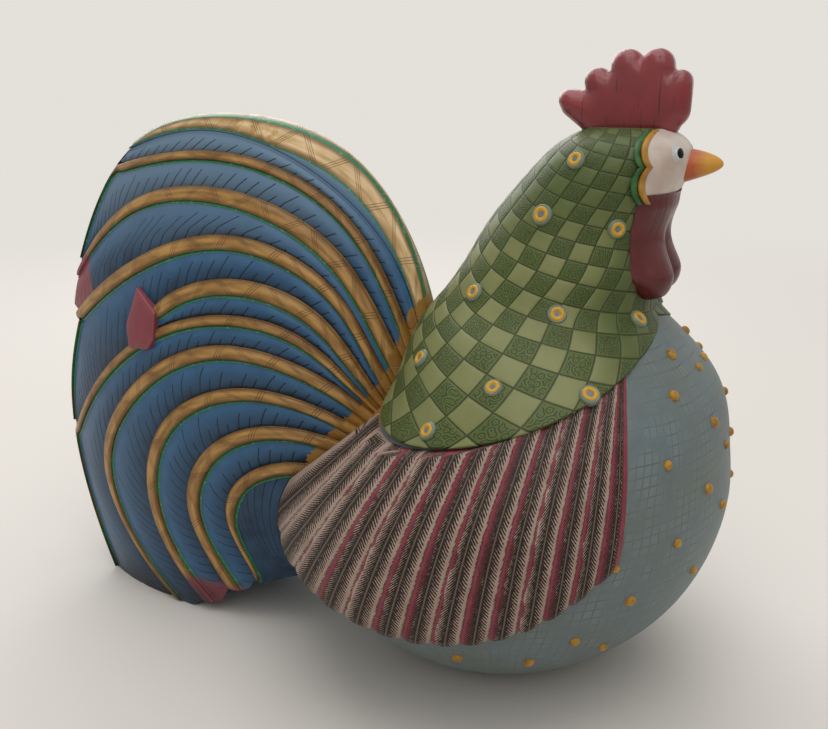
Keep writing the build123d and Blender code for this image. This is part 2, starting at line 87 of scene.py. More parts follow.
def put(
    tree: bpy.types.NodeTree, kind: str, inputs: dict | list | None = None, out: str = "", **settings: object
) -> bpy.types.NodeSocket | None:
    """Add one node, with its settings, values and links.

    Args:
        tree: Node tree that takes the node.
        kind: Blender's name of the node type, where a shader's node goes without ShaderNode in front.
        inputs: Sockets by name or number, or a row of the first ones. Each takes a value, a hex colour,
            or the output socket that feeds it.
        out: Name of the output wanted, or the first one in use.
        **settings: Properties of the node itself.

    Returns:
        The output socket, if the node has any.
    """
    node = tree.nodes.new(kind if "Node" in kind else "ShaderNode" + kind)
    for key, value in settings.items():
        setattr(node, key, value)
    given = inputs if isinstance(inputs, dict) else dict(enumerate(inputs or []))
    for key, value in given.items():
        named = [socket for socket in node.inputs if socket.enabled and socket.name == key]
        socket = named[0] if named else node.inputs[key]
        if isinstance(value, bpy.types.NodeSocket):
            tree.links.new(value, socket)
        else:
            socket.default_value = linear(str(value)) if socket.type == "RGBA" else value
    if out:
        return node.outputs[out]
    return next((socket for socket in node.outputs if socket.enabled), None)


def spline(knots: np.ndarray, values: np.ndarray, at: np.ndarray) -> np.ndarray:
    """Natural cubic through values at knots.

    Args:
        knots: Rising parameters, one for each value.
        values: Rows of numbers to pass through.
        at: Parameters to read.

    Returns:
        One row for each parameter read.
    """
    gaps = np.diff(knots)
    system = np.eye(len(knots))
    right = np.zeros_like(values)
    for i in range(1, len(knots) - 1):
        system[i, i - 1 : i + 2] = gaps[i - 1], 2 * (gaps[i - 1] + gaps[i]), gaps[i]
        right[i] = 6 * ((values[i + 1] - values[i]) / gaps[i] - (values[i] - values[i - 1]) / gaps[i - 1])
    bends = np.linalg.solve(system, right)
    cell = np.clip(np.searchsorted(knots, at) - 1, 0, len(gaps) - 1)
    gap = gaps[cell][:, None]
    low = (knots[cell + 1] - at)[:, None]
    high = (at - knots[cell])[:, None]
    curve = (bends[cell] * low**3 + bends[cell + 1] * high**3) / (6 * gap)
    curve += (values[cell] / gap - bends[cell] * gap / 6) * low
    curve += (values[cell + 1] / gap - bends[cell + 1] * gap / 6) * high
    return curve


def lengths(points: np.ndarray) -> np.ndarray:
    """Running length along a row of points, from nought."""
    return np.concatenate([[0.0], np.cumsum(np.linalg.norm(np.diff(points, axis=0), axis=1))])


def resample(points: np.ndarray, count: int) -> np.ndarray:
    """The same line in a given number of even points."""
    run = lengths(points)
    at = np.linspace(0, run[-1], count)
    return np.stack([np.interp(at, run, points[:, k]) for k in range(points.shape[1])], 1)


def smooth_line(points: Sequence[Sequence[float]], step: float = 0.4) -> np.ndarray:
    """Even points on a smooth curve through the given ones.

    Args:
        points: Points to pass through.
        step: Distance between the points returned, in millimetres.

    Returns:
        Rows of points along the curve.
    """
    given = np.array(points, float)
    knots = lengths(given)
    fine = spline(knots, given, np.linspace(0, knots[-1], 400))
    return resample(fine, max(2, int(lengths(fine)[-1] / step)))


def ease(low: float, high: float, value: np.ndarray) -> np.ndarray:
    """Smooth rise from nought at low to one at high."""
    share = np.clip((value - low) / (high - low), 0, 1)
    return share * share * (3 - 2 * share)


def ripple(phase: np.ndarray, width: float) -> np.ndarray:
    """One at whole numbers of the phase, falling to nought within a share of its pitch."""
    away = np.abs(phase - np.round(phase))
    return np.exp(-((away / width) ** 2))


class Casting:
    """Vertices, faces and point attributes of one piece while it is built, in millimetres."""

    def __init__(self, name: str, *attributes: str) -> None:
        """Start an empty piece.

        Args:
            name: Name of the finished object.
            *attributes: Names of the numbers that each vertex carries for the paint.
        """
        self.name = name
        self.points: list[np.ndarray] = []
        self.values: dict[str, list[np.ndarray]] = {key: [] for key in attributes}
        self.faces: list[list[int]] = []
        self.count = 0

    def add(self, points: np.ndarray, **values: np.ndarray | float) -> np.ndarray:
        """Add vertices.

        Args:
            points: Array of points in any layout, with x, y and z last.
            **values: Numbers of these vertices, by attribute.

        Returns:
            The vertex numbers, in the layout of the points.
        """
        shape = points.shape[:-1]
        flat = points.reshape(-1, 3)
        for key, rows in self.values.items():
            rows.append(np.broadcast_to(values.get(key, 0.0), shape).reshape(-1))
        self.points.append(flat)
        self.count += len(flat)
        return np.arange(self.count - len(flat), self.count).reshape(shape)

    def quads(self, ids: np.ndarray, wrap: bool = False) -> None:
        """Faces over a grid of vertex numbers, closed round its columns if asked."""
        grid = np.concatenate([ids, ids[:, :1]], 1) if wrap else ids
        cells = np.stack([grid[:-1, :-1], grid[:-1, 1:], grid[1:, 1:], grid[1:, :-1]], -1)
        self.faces.extend(cells.reshape(-1, 4).tolist())

    def fan(self, loop: Iterable[int], hub: Sequence[float], **values: float) -> None:
        """Close a ring of vertices with triangles to one point."""
        centre = int(self.add(np.array([hub], float), **values)[0])
        ids = [int(i) for i in loop]
        self.faces.extend([a, b, centre] for a, b in zip(ids, ids[1:] + ids[:1]))

    def slab(self, front: np.ndarray, back: np.ndarray, wrap: float = 0.0, **values: np.ndarray) -> None:
        """A closed plate: a fine front grid and a back that only follows its first and last rows.

        Args:
            front: Grid of points, rows across and columns along.
            back: First and last row of the back, two rows of points.
            wrap: How much further across the back counts than its edge.
            **values: Numbers of the front grid, by attribute; the back takes those of its edge.
        """
        ids = self.add(front, **values)
        ends = {key: np.asarray(value)[[0, -1]] for key, value in values.items()}
        if "across" in ends:
            ends["across"] = ends["across"] + wrap
        rear = self.add(back, **ends)
        self.quads(ids)
        self.quads(rear)
        self.quads(np.stack([ids[0], rear[0]]))
        self.quads(np.stack([ids[-1], rear[-1]]))
        for end in (0, -1):
            self.faces.append([*ids[:, end].tolist(), int(rear[1, end]), int(rear[0, end])])

    def build(self, side: Side = Side.RIGHT, sharp: float = CRISP_EDGE) -> bpy.types.Object:
        """Make the object.

        Args:
            side: The left side is the mirror image of what was collected.
            sharp: Edges that turn by more degrees than this stay crisp.

        Returns:
            The new mesh object, at the origin.
        """
        points = np.concatenate(self.points) * MM
        points[:, 1] *= side.value
        mesh = bpy.data.meshes.new(self.name)
        mesh.from_pydata(points.tolist(), [], self.faces)
        for key, rows in self.values.items():
            store = mesh.attributes.new(key, "FLOAT", "POINT")
            store.data.foreach_set("value", np.concatenate(rows).astype(np.float32))
        return finish_mesh(mesh, self.name, sharp)


def placed(name: str, data: bpy.types.ID) -> bpy.types.Object:
    """New object with the given data, linked into the scene."""
    piece = bpy.data.objects.new(name, data)
    bpy.context.scene.collection.objects.link(piece)
    return piece


def baked(holder: bpy.types.Object) -> bpy.types.Mesh:
    """Mesh of an object with its modifiers applied, after which the object goes."""
    graph = bpy.context.evaluated_depsgraph_get()
    mesh = bpy.data.meshes.new_from_object(holder.evaluated_get(graph))
    bpy.data.objects.remove(holder)
    return mesh


def finish_mesh(mesh: bpy.types.Mesh, name: str, sharp: float) -> bpy.types.Object:
    """Weld a mesh, turn its faces outwards, smooth it and put it in the scene.

    Args:
        mesh: The mesh to finish.
        name: Name of the object.
        sharp: Edges that turn by more degrees than this stay crisp.

    Returns:
        The linked object.
    """
    work = bmesh.new()
    work.from_mesh(mesh)
    bmesh.ops.remove_doubles(work, verts=work.verts, dist=WELD)
    bmesh.ops.recalc_face_normals(work, faces=work.faces)
    work.to_mesh(mesh)
    work.free()
    mesh.shade_smooth()
    mesh.set_sharp_from_angle(angle=radians(sharp))
    return placed(name, mesh)


# Finishes


@dataclass(frozen=True)
class Finish:
    """Surface of a piece, satin unless told otherwise; each kind of finish adds its own pattern."""

    name: str
    roughness: float = 0.42
    coat: float = 0.05
    ior: float = 1.36
    varnish: float = 0.22

    def material(self) -> bpy.types.Material:
        """The finish as a Blender material, made once."""
        found = bpy.data.materials.get(self.name)
        if found:
            return found
        made = bpy.data.materials.new(self.name)
        made.use_nodes = True
        tree = made.node_tree
        tree.nodes.clear()
        sheen = {"Roughness": self.roughness, "IOR": self.ior}
        sheen |= {"Coat Weight": self.coat, "Coat Roughness": self.varnish}
        shader = put(tree, "BsdfPrincipled", sheen | self.paint(tree))
        put(tree, "OutputMaterial", {"Surface": shader})
        return made

    def paint(self, tree: bpy.types.NodeTree) -> Feeds:
        """Add the pattern's nodes and name the inputs of the shader that they feed."""
        raise NotImplementedError


@dataclass(frozen=True)
class BrushedPaint(Finish):
    """One tone that clouds into a second, with fine marks: brushed paint, and also felt and rubber."""

    light: str = "#8A8073"
    dark: str = "#5F564B"
    cloud_mm: float = 6.0
    mark_mm: float = 0.7
    depth_mm: float = 0.06

    def paint(self, tree: bpy.types.NodeTree) -> Feeds:
        """Cloud the colour and roughen the surface with fine marks."""
        where = put(tree, "TexCoord", out="Object")
        cloud = put(tree, "TexNoise", {"Vector": where, "Scale": 1 / (self.cloud_mm * MM), "Detail": 4.0})
        mark = put(tree, "TexNoise", {"Vector": where, "Scale": 1 / (self.mark_mm * MM), "Detail": 3.0})
        share = put(tree, "MapRange", [cloud, 0.32, 0.68])
        colour = put(tree, "Mix", {0: share, 6: self.dark, 7: self.light}, data_type="RGBA")
        bump = put(tree, "Bump", {"Strength": 0.5, "Distance": self.depth_mm * MM, "Height": mark})
        return {"Base Color": colour, "Normal": bump}


@dataclass(frozen=True)
class TailPaint(Finish):
    """Tail feathers: ochre bands with carved strokes, a thin green line, and blue vanes with barbs."""

    barb_mm: float = 4.3
    lean: float = 1.1
    group_mm: float = 9.0
    stroke_mm: float = 0.9
    line_mm: float = 1.0
    gold: tuple[str, str] = ("#84602F", "#B88E50")

    def paint(self, tree: bpy.types.NodeTree) -> Feeds:
        """Paint bands, lines, vanes, red tips and ochre roots from the feather's own measures."""
        read = {
            key: put(tree, "Attribute", out="Fac", attribute_name=key)
            for key in ("across", "along", "band", "red", "root", "slope")
        }
        where = put(tree, "TexCoord", out="Object")
        cloud = put(tree, "TexNoise", {"Vector": where, "Scale": 1 / (7 * MM), "Detail": 5.0})
        flat = put(tree, "CombineXYZ", [read["along"], read["across"], read["band"]])
        drawn = put(tree, "Mapping", {"Vector": flat, "Scale": (0.1, 0.55, 3.1)})
        mottle = put(tree, "TexNoise", {"Vector": drawn, "Scale": 1.0, "Detail": 5.0})
        fleck = put(tree, "TexNoise", {"Vector": where, "Scale": 1 / (1.1 * MM), "Detail": 3.0})
        past = put(tree, "Math", [read["across"], read["band"]], operation="SUBTRACT")
        wander = put(tree, "MapRange", {0: mottle, 3: -0.5, 4: 0.5})
        edge = put(tree, "Math", [past, wander], operation="ADD")

        # Blue vane with painted shade towards its lower edge, where it dips under the next band, and short
        # barbs cut up from that edge
        deep = put(tree, "MapRange", [read["slope"], 0.15, 1.0, 0.0, 1.7])
        deep = put(tree, "Math", [deep, cloud], operation="MULTIPLY")
        level = put(tree, "SeparateXYZ", [where], out="Z")
        # Painted light: the vanes turn paler the higher they sit, from 116 to 156 mm up
        lift = put(tree, "MapRange", [level, 116 * MM, 156 * MM, 0.0, 0.8])
        slant = put(tree, "Math", [read["across"], -self.lean, read["along"]], operation="MULTIPLY_ADD")
        phase = put(tree, "Math", [slant, self.barb_mm], operation="DIVIDE")
        sway = put(tree, "MapRange", {0: cloud, 3: -0.14, 4: 0.14})
        phase = put(tree, "Math", [phase, sway], operation="ADD")
        away = put(tree, "Math", [phase, 0.5], operation="PINGPONG")
        number = put(tree, "Math", [phase], operation="ROUND")
        chance = put(tree, "TexWhiteNoise", {"W": number}, noise_dimensions="1D")
        start = put(tree, "MapRange", {0: chance, 3: 0.04, 4: 0.66})
        begun = put(tree, "Math", [read["slope"], start], operation="GREATER_THAN")
        barb = put(tree, "MapRange", [away, 0.025, 0.065, 0.9, 0.0])
        barb = put(tree, "Math", [barb, begun], operation="MULTIPLY")
        blue = "#244868"
        for share, paint in ((cloud, "#3E6C94"), (deep, "#15293C"), (lift, "#748DA2"), (barb, "#0B1722")):
            blue = put(tree, "Mix", {0: share, 6: blue, 7: paint}, data_type="RGBA")

        # Ochre band with groups of strokes that lean one way and the other
        group = put(tree, "Math", [read["along"], self.group_mm], operation="DIVIDE")
        number = put(tree, "Math", [group], operation="FLOOR")
        odd = put(tree, "Math", [number, 2.0], operation="FLOORED_MODULO")
        turn = put(tree, "Math", [odd, 2.0, -1.0], operation="MULTIPLY_ADD")
        local = put(tree, "Math", [group, number], operation="SUBTRACT")
        local = put(tree, "Math", [local, self.group_mm, -4.0], operation="MULTIPLY_ADD")
        half = put(tree, "Math", [read["band"], -0.5, read["across"]], operation="MULTIPLY_ADD")
        skew = put(tree, "Math", [half, turn, local], operation="MULTIPLY_ADD")
        rung = put(tree, "Math", [skew, self.stroke_mm / 2], operation="PINGPONG")
        rung = put(tree, "MapRange", [rung, 0.07, 0.2, 0.6, 0.0])
        near = put(tree, "Math", [skew, 0.0, 1.4], operation="COMPARE")
        stroke = put(tree, "Math", [rung, near], operation="MULTIPLY")
        rubbed = put(tree, "MapRange", [mottle, 0.36, 0.66])
        # Painted shade: darker brown along both edges of the raised band, down in the creases beside it
        below = put(tree, "MapRange", [past, -1.5, -0.1, 0.0, 0.8])
        above = put(tree, "MapRange", [read["across"], 0.0, 1.1, 0.8, 0.0])
        band_edge_shade = put(tree, "Math", [below, above], operation="MAXIMUM")
        gold = self.gold[0]
        for share, paint in ((rubbed, self.gold[1]), (band_edge_shade, "#5C3A18"), (stroke, "#4A2E14")):
            gold = put(tree, "Mix", {0: share, 6: gold, 7: paint}, data_type="RGBA")

        # Thin green line below the band, rubbed pale here and there
        pale = put(tree, "MapRange", [fleck, 0.55, 0.75])
        green = put(tree, "Mix", {0: pale, 6: "#2F7348", 7: "#689C78"}, data_type="RGBA")
        inner = put(tree, "Math", [edge, self.line_mm / 2, self.line_mm / 2], operation="COMPARE")
        outer = put(tree, "Math", [read["across"], -0.05], operation="LESS_THAN")
        lined = put(tree, "Math", [inner, outer], operation="MAXIMUM")

        # Ochre roots, red tips and painted shade near the floor, laid over band, line and vane
        on_band = put(tree, "Math", [edge, 0.0], operation="LESS_THAN")
        ragged = put(tree, "MapRange", {0: mottle, 3: -0.55, 4: 0.55})
        ragged = put(tree, "Math", [read["root"], ragged], operation="ADD")
        rooted = put(tree, "MapRange", [ragged, 0.55, 0.65])
        ochre = put(tree, "Mix", {0: cloud, 6: "#6E4A1E", 7: "#B08440"}, data_type="RGBA")
        crimson = put(tree, "Mix", {0: cloud, 6: "#6E2E36", 7: "#98505A"}, data_type="RGBA")
        # Painted shade: darker towards the floor, over the lowest 15 mm of the tail
        floor_shade = put(tree, "MapRange", [level, 1 * MM, 15 * MM, 1.5, 0.0])
        floor_shade = put(tree, "Math", [floor_shade, mottle], operation="MULTIPLY")
        layers = ((on_band, gold), (lined, green), (rooted, ochre), (read["red"], crimson), (floor_shade, "#2B2119"))
        colour = blue
        for share, paint in layers:
            colour = put(tree, "Mix", {0: share, 6: colour, 7: paint}, data_type="RGBA")
        cuts = put(tree, "Mix", {0: on_band, 2: barb, 3: stroke}, data_type="FLOAT")
        rough = put(tree, "Math", [fleck, 0.25, cuts], operation="MULTIPLY_ADD")
        bump = put(tree, "Bump", {"Strength": 0.6, "Distance": 0.3 * MM, "Height": rough}, invert=True)
        return {"Base Color": colour, "Normal": bump}


@dataclass(frozen=True)
class CapePaint(Finish):
    """Patchwork cape: squares ruled by dark lines, every other one stamped with small curls."""

    def paint(self, tree: bpy.types.NodeTree) -> Feeds:
        """Rule, check and stamp the patches along the cape's own lattice."""
        over, down, shade = (
            put(tree, "Attribute", out="Fac", attribute_name=key) for key in ("over", "down", "shade")
        )
        where = put(tree, "TexCoord", out="Object")
        cloud = put(tree, "TexNoise", {"Vector": where, "Scale": 1 / (16 * MM), "Detail": 4.0})
        fleck = put(tree, "TexNoise", {"Vector": where, "Scale": 1 / (0.8 * MM), "Detail": 3.0})
        cells = [put(tree, "Math", [axis], operation="FLOOR") for axis in (over, down)]
        total = put(tree, "Math", cells, operation="ADD")
        odd = put(tree, "Math", [total, 2.0], operation="FLOORED_MODULO")
        aways = [put(tree, "Math", [axis, 0.5], operation="PINGPONG") for axis in (over, down)]
        nearest = put(tree, "Math", aways, operation="MINIMUM")
        wander = put(tree, "MapRange", {0: fleck, 3: -0.015, 4: 0.015})
        nearest = put(tree, "Math", [nearest, wander], operation="ADD")
        line = put(tree, "MapRange", [nearest, 0.015, 0.045, 0.85, 0.0])
        flat = put(tree, "CombineXYZ", [over, down])
        dots = put(tree, "TexVoronoi", {"Vector": flat, "Scale": 3.4}, voronoi_dimensions="2D")
        curl = put(tree, "Math", [dots, 0.17], operation="PINGPONG")
        curl = put(tree, "MapRange", [curl, 0.05, 0.1, 0.85, 0.0])
        inset = put(tree, "MapRange", [nearest, 0.07, 0.11])
        stamp = put(tree, "Math", [curl, inset], operation="MULTIPLY")
        stamp = put(tree, "Math", [stamp, odd], operation="MULTIPLY")
        plain = put(tree, "Mix", {0: cloud, 6: "#666C3C", 7: "#8C9060"}, data_type="RGBA")
        worked = put(tree, "Mix", {0: cloud, 6: "#465526", 7: "#606D36"}, data_type="RGBA")
        colour = plain
        for share, paint in ((odd, worked), (shade, "#4A582B"), (stamp, "#2D3918"), (line, "#222A12")):
            colour = put(tree, "Mix", {0: share, 6: colour, 7: paint}, data_type="RGBA")
        cuts = put(tree, "Math", [stamp, line], operation="MAXIMUM")
        rough = put(tree, "Math", [fleck, 0.2, cuts], operation="MULTIPLY_ADD")
        bump = put(tree, "Bump", {"Strength": 0.6, "Distance": 0.3 * MM, "Height": rough}, invert=True)
        return {"Base Color": colour, "Normal": bump}


@dataclass(frozen=True)
class WingPaint(Finish):
    """Wing feathers: a dark fishbone along each shaft, pale margins and a crimson stripe between."""

    barb_mm: float = 0.95
    lean_mm: float = 4.4

    def paint(self, tree: bpy.types.NodeTree) -> Feeds:
        """Paint each feather from its shaft outwards."""
        side, run, stripe = (
            put(tree, "Attribute", out="Fac", attribute_name=key) for key in ("side", "run", "stripe")
        )
        where = put(tree, "TexCoord", out="Object")
        cloud = put(tree, "TexNoise", {"Vector": where, "Scale": 1 / (5 * MM), "Detail": 4.0})
        fleck = put(tree, "TexNoise", {"Vector": where, "Scale": 1 / (0.7 * MM), "Detail": 3.0})
        out = put(tree, "Math", [side], operation="ABSOLUTE")
        slant = put(tree, "Math", [out, -self.lean_mm, run], operation="MULTIPLY_ADD")
        phase = put(tree, "Math", [slant, self.barb_mm], operation="DIVIDE")
        sway = put(tree, "MapRange", {0: cloud, 3: -0.5, 4: 0.5})
        phase = put(tree, "Math", [phase, sway], operation="ADD")
        tooth = put(tree, "Math", [phase, 0.5], operation="PINGPONG")
        reach = put(tree, "MapRange", [fleck, 0.3, 0.7, 0.48, 0.7])
        reach = put(tree, "Math", [out, -0.58, reach], operation="MULTIPLY_ADD")
        limit = put(tree, "MapRange", {0: fleck, 3: 0.6, 4: 0.84})
        limit = put(tree, "Math", [out, limit], operation="LESS_THAN")
        dark = put(tree, "Math", [tooth, reach], operation="LESS_THAN")
        dark = put(tree, "Math", [dark, limit], operation="MULTIPLY")
        gap = put(tree, "MapRange", [out, 0.03, 0.08, 0.6, 0.0])
        bone = put(tree, "Mix", {0: gap, 6: "#1E150F", 7: "#857262"}, data_type="RGBA")
        beige = put(tree, "Mix", {0: cloud, 6: "#896F63", 7: "#B6A294"}, data_type="RGBA")
        crimson = put(tree, "Mix", {0: cloud, 6: "#661F2C", 7: "#964652"}, data_type="RGBA")
        wander = put(tree, "MapRange", [cloud, 0.3, 0.7, -0.2, 0.2])
        wander = put(tree, "Math", [stripe, wander], operation="ADD")
        striped = put(tree, "Math", [side, wander], operation="GREATER_THAN")
        colour = beige
        for share, paint in ((striped, crimson), (dark, bone)):
            colour = put(tree, "Mix", {0: share, 6: colour, 7: paint}, data_type="RGBA")
        cuts = put(tree, "Math", [dark, gap], operation="SUBTRACT")
        rough = put(tree, "Math", [fleck, 0.2, cuts], operation="MULTIPLY_ADD")
        bump = put(tree, "Bump", {"Strength": 0.55, "Distance": 0.25 * MM, "Height": rough}, invert=True)
        return {"Base Color": colour, "Normal": bump}


@dataclass(frozen=True)
class BellyPaint(Finish):
    """Belly: blue-grey paint over a canvas-like scoring, clouded with olive."""

    score_mm: float = 2.5

    def paint(self, tree: bpy.types.NodeTree) -> Feeds:
        """Score the belly round and up, break the lines, and cloud the colour."""
        around, rise, root = (
            put(tree, "Attribute", out="Fac", attribute_name=key) for key in ("around", "rise", "root")
        )
        where = put(tree, "TexCoord", out="Object")
        cloud = put(tree, "TexNoise", {"Vector": where, "Scale": 1 / (22 * MM), "Detail": 4.0})
        patch = put(tree, "TexNoise", {"Vector": where, "Scale": 1 / (6 * MM), "Detail": 5.0})
        fleck = put(tree, "TexNoise", {"Vector": where, "Scale": 1 / (0.6 * MM), "Detail": 3.0})
        lines = []
        for axis, pitch in ((around, self.score_mm), (rise, self.score_mm * 1.15)):
            sway = put(tree, "Math", [cloud, 3.0, axis], operation="MULTIPLY_ADD")
            phase = put(tree, "Math", [sway, pitch], operation="DIVIDE")
            away = put(tree, "Math", [phase, 0.5], operation="PINGPONG")
            lines.append(put(tree, "MapRange", [away, 0.035, 0.1, 1.0, 0.0]))
        broken = put(tree, "MapRange", [patch, 0.4, 0.68, 0.0, 0.5])
        level = put(tree, "SeparateXYZ", [where], out="Z")
        low = put(tree, "MapRange", [level, 5 * MM, 20 * MM, 0.6, 0.0])
        upright = put(tree, "Math", [broken, low], operation="MAXIMUM")
        cuts = [
            put(tree, "Math", [line, share], operation="MULTIPLY")
            for line, share in zip(lines, (upright, broken))
        ]
        score = put(tree, "Math", cuts, operation="MAXIMUM")
        olive = put(tree, "MapRange", [cloud, 0.45, 0.75, 0.0, 0.5])
        ochre = put(tree, "Mix", {0: patch, 6: "#6E4A1E", 7: "#B08440"}, data_type="RGBA")
        colour = "#566368"
        for share, paint in ((patch, "#7A8888"), (olive, "#6B6C56"), (score, "#354147"), (root, ochre)):
            colour = put(tree, "Mix", {0: share, 6: colour, 7: paint}, data_type="RGBA")
        rough = put(tree, "Math", [fleck, 0.3, score], operation="MULTIPLY_ADD")
        bump = put(tree, "Bump", {"Strength": 0.5, "Distance": 0.25 * MM, "Height": rough}, invert=True)
        return {"Base Color": colour, "Normal": bump}


@dataclass(frozen=True)
class CarvedRed(Finish):
    """Comb and wattles: dark red paint in fine carved scratches that run up and down."""

    light: str = "#96343A"
    dark: str = "#61232A"

    def paint(self, tree: bpy.types.NodeTree) -> Feeds:
        """Stretch a noise into scratches and cloud the red."""
        where = put(tree, "TexCoord", out="Object")
        cloud = put(tree, "TexNoise", {"Vector": where, "Scale": 1 / (9 * MM), "Detail": 3.0})
        drawn = put(tree, "Mapping", {"Vector": where, "Scale": (1300.0, 700.0, 60.0)})
        scratch = put(tree, "TexNoise", {"Vector": drawn, "Scale": 1.0, "Detail": 2.0})
        cut = put(tree, "MapRange", [scratch, 0.62, 0.72])
        colour = put(tree, "Mix", {0: cloud, 6: self.dark, 7: self.light}, data_type="RGBA")
        colour = put(tree, "Mix", {0: cut, 6: colour, 7: "#45151B"}, data_type="RGBA")
        bump = put(tree, "Bump", {"Strength": 0.6, "Distance": 0.25 * MM, "Height": cut}, invert=True)
        return {"Base Color": colour, "Normal": bump}


@dataclass(frozen=True)
class ButtonPaint(Finish):
    """Buttons and eyes: rings of paint round a middle, brushed on by hand."""

    wander: float = 0.12
    rings: tuple[tuple[float, str], ...] = ((0.0, "#6C7880"), (0.3, "#C89A2A"), (0.74, "#768272"))

    def paint(self, tree: bpy.types.NodeTree) -> Feeds:
        """Lay each ring over the last one, from the middle out."""
        ring = put(tree, "Attribute", out="Fac", attribute_name="ring")
        where = put(tree, "TexCoord", out="Object")
        cloud = put(tree, "TexNoise", {"Vector": where, "Scale": 1 / (1.6 * MM), "Detail": 2.0})
        wander = put(tree, "MapRange", {0: cloud, 3: -self.wander, 4: self.wander})
        place = put(tree, "Math", [ring, wander], operation="ADD")
        colour: object = self.rings[0][1]
        for start, paint in self.rings[1:]:
            past = put(tree, "Math", [place, start], operation="GREATER_THAN")
            colour = put(tree, "Mix", {0: past, 6: colour, 7: paint}, data_type="RGBA")
        worn = put(tree, "MapRange", [cloud, 0.6, 0.8, 0.0, 0.25])
        colour = put(tree, "Mix", {0: worn, 6: colour, 7: "#55604C"}, data_type="RGBA")
        return {"Base Color": colour}


@dataclass(frozen=True)
class BeakPaint(Finish):
    """Beak: yellow towards the tip, shaded red where it leaves the face."""

    base_mm: float = 52.0
    tip_mm: float = 55.6

    def paint(self, tree: bpy.types.NodeTree) -> Feeds:
        """Shade the colour along the beak."""
        where = put(tree, "TexCoord", out="Object")
        along = put(tree, "SeparateXYZ", [where], out="X")
        cloud = put(tree, "TexNoise", {"Vector": where, "Scale": 1 / (2 * MM), "Detail": 3.0})
        moved = put(tree, "Math", [cloud, 2.5 * MM, along], operation="MULTIPLY_ADD")
        share = put(tree, "MapRange", [moved, self.base_mm * MM, self.tip_mm * MM])
        colour = put(tree, "Mix", {0: share, 6: "#B45A34", 7: "#CC9236"}, data_type="RGBA")
        bump = put(tree, "Bump", {"Strength": 0.3, "Distance": 0.1 * MM, "Height": cloud})
        return {"Base Color": colour, "Normal": bump}


TAIL_PAINT = TailPaint("cast_resin_tail_blue_and_ochre", roughness=0.4, coat=0.1)
CAPE_PAINT = CapePaint("cast_resin_patchwork_olive", roughness=0.48)
WING_PAINT = WingPaint("cast_resin_wing_fishbone", roughness=0.55, coat=0.0)
BELLY_PAINT = BellyPaint("cast_resin_belly_scored_blue_grey", roughness=0.5)
RED_PAINT = CarvedRed("cast_resin_comb_carved_red", roughness=0.34, coat=0.5, varnish=0.12)
RIDGE_PAINT = TailPaint("cast_resin_ridge_ochre", 0.4, 0.1, line_mm=0.6, gold=("#BA9560", "#E8CA9C"))
# The wattles take the comb's red darkened, as painted shade under the head
WATTLE_SHADED_RED = CarvedRed("cast_resin_wattle_carved_red", 0.34, 0.25, light="#672426", dark="#431216")
BUTTON_PAINT = ButtonPaint("cast_resin_button_rings", roughness=0.36, coat=0.12)
EYE_RINGS = ((0.0, "#0E0E10"), (0.62, "#C8CCD0"))
EYE_PAINT = ButtonPaint("gloss_black_eye", 0.25, 0.0, 1.25, rings=EYE_RINGS, wander=0.04)
BEAK_PAINT = BeakPaint("cast_resin_beak_yellow", roughness=0.38, coat=0.12)
BEAD_PAINT = BrushedPaint("cast_resin_bead_yellow", 0.36, 0.12, light="#BE8E2C", dark="#8E641C", cloud_mm=2.0)
FACE_PAINT = BrushedPaint("cast_resin_face_white", 0.42, 0.1, light="#D2C8BE", dark="#BCA89C", cloud_mm=8.0)
ORANGE_PAINT = BrushedPaint("cast_resin_welt_orange", 0.4, 0.1, light="#BC8A36", dark="#92661F", cloud_mm=3.0)
GREEN_PAINT = BrushedPaint("cast_resin_welt_green", 0.4, 0.1, light="#3E6E3C", dark="#264A2A", cloud_mm=3.0)
FELT = BrushedPaint(
    "pressed_wool_felt", 0.95, 0.0, light="#4A5646", dark="#363F33", mark_mm=0.4, depth_mm=0.3
)
RUBBER = BrushedPaint("moulded_rubber", 0.7, 0.0, light="#524E4A", dark="#3F3B38", mark_mm=0.3)
CORE_PAINT = BrushedPaint("cast_resin_core_blue", 0.45, 0.05, light="#33587A", dark="#203D58")


# Shapes shared by the pieces


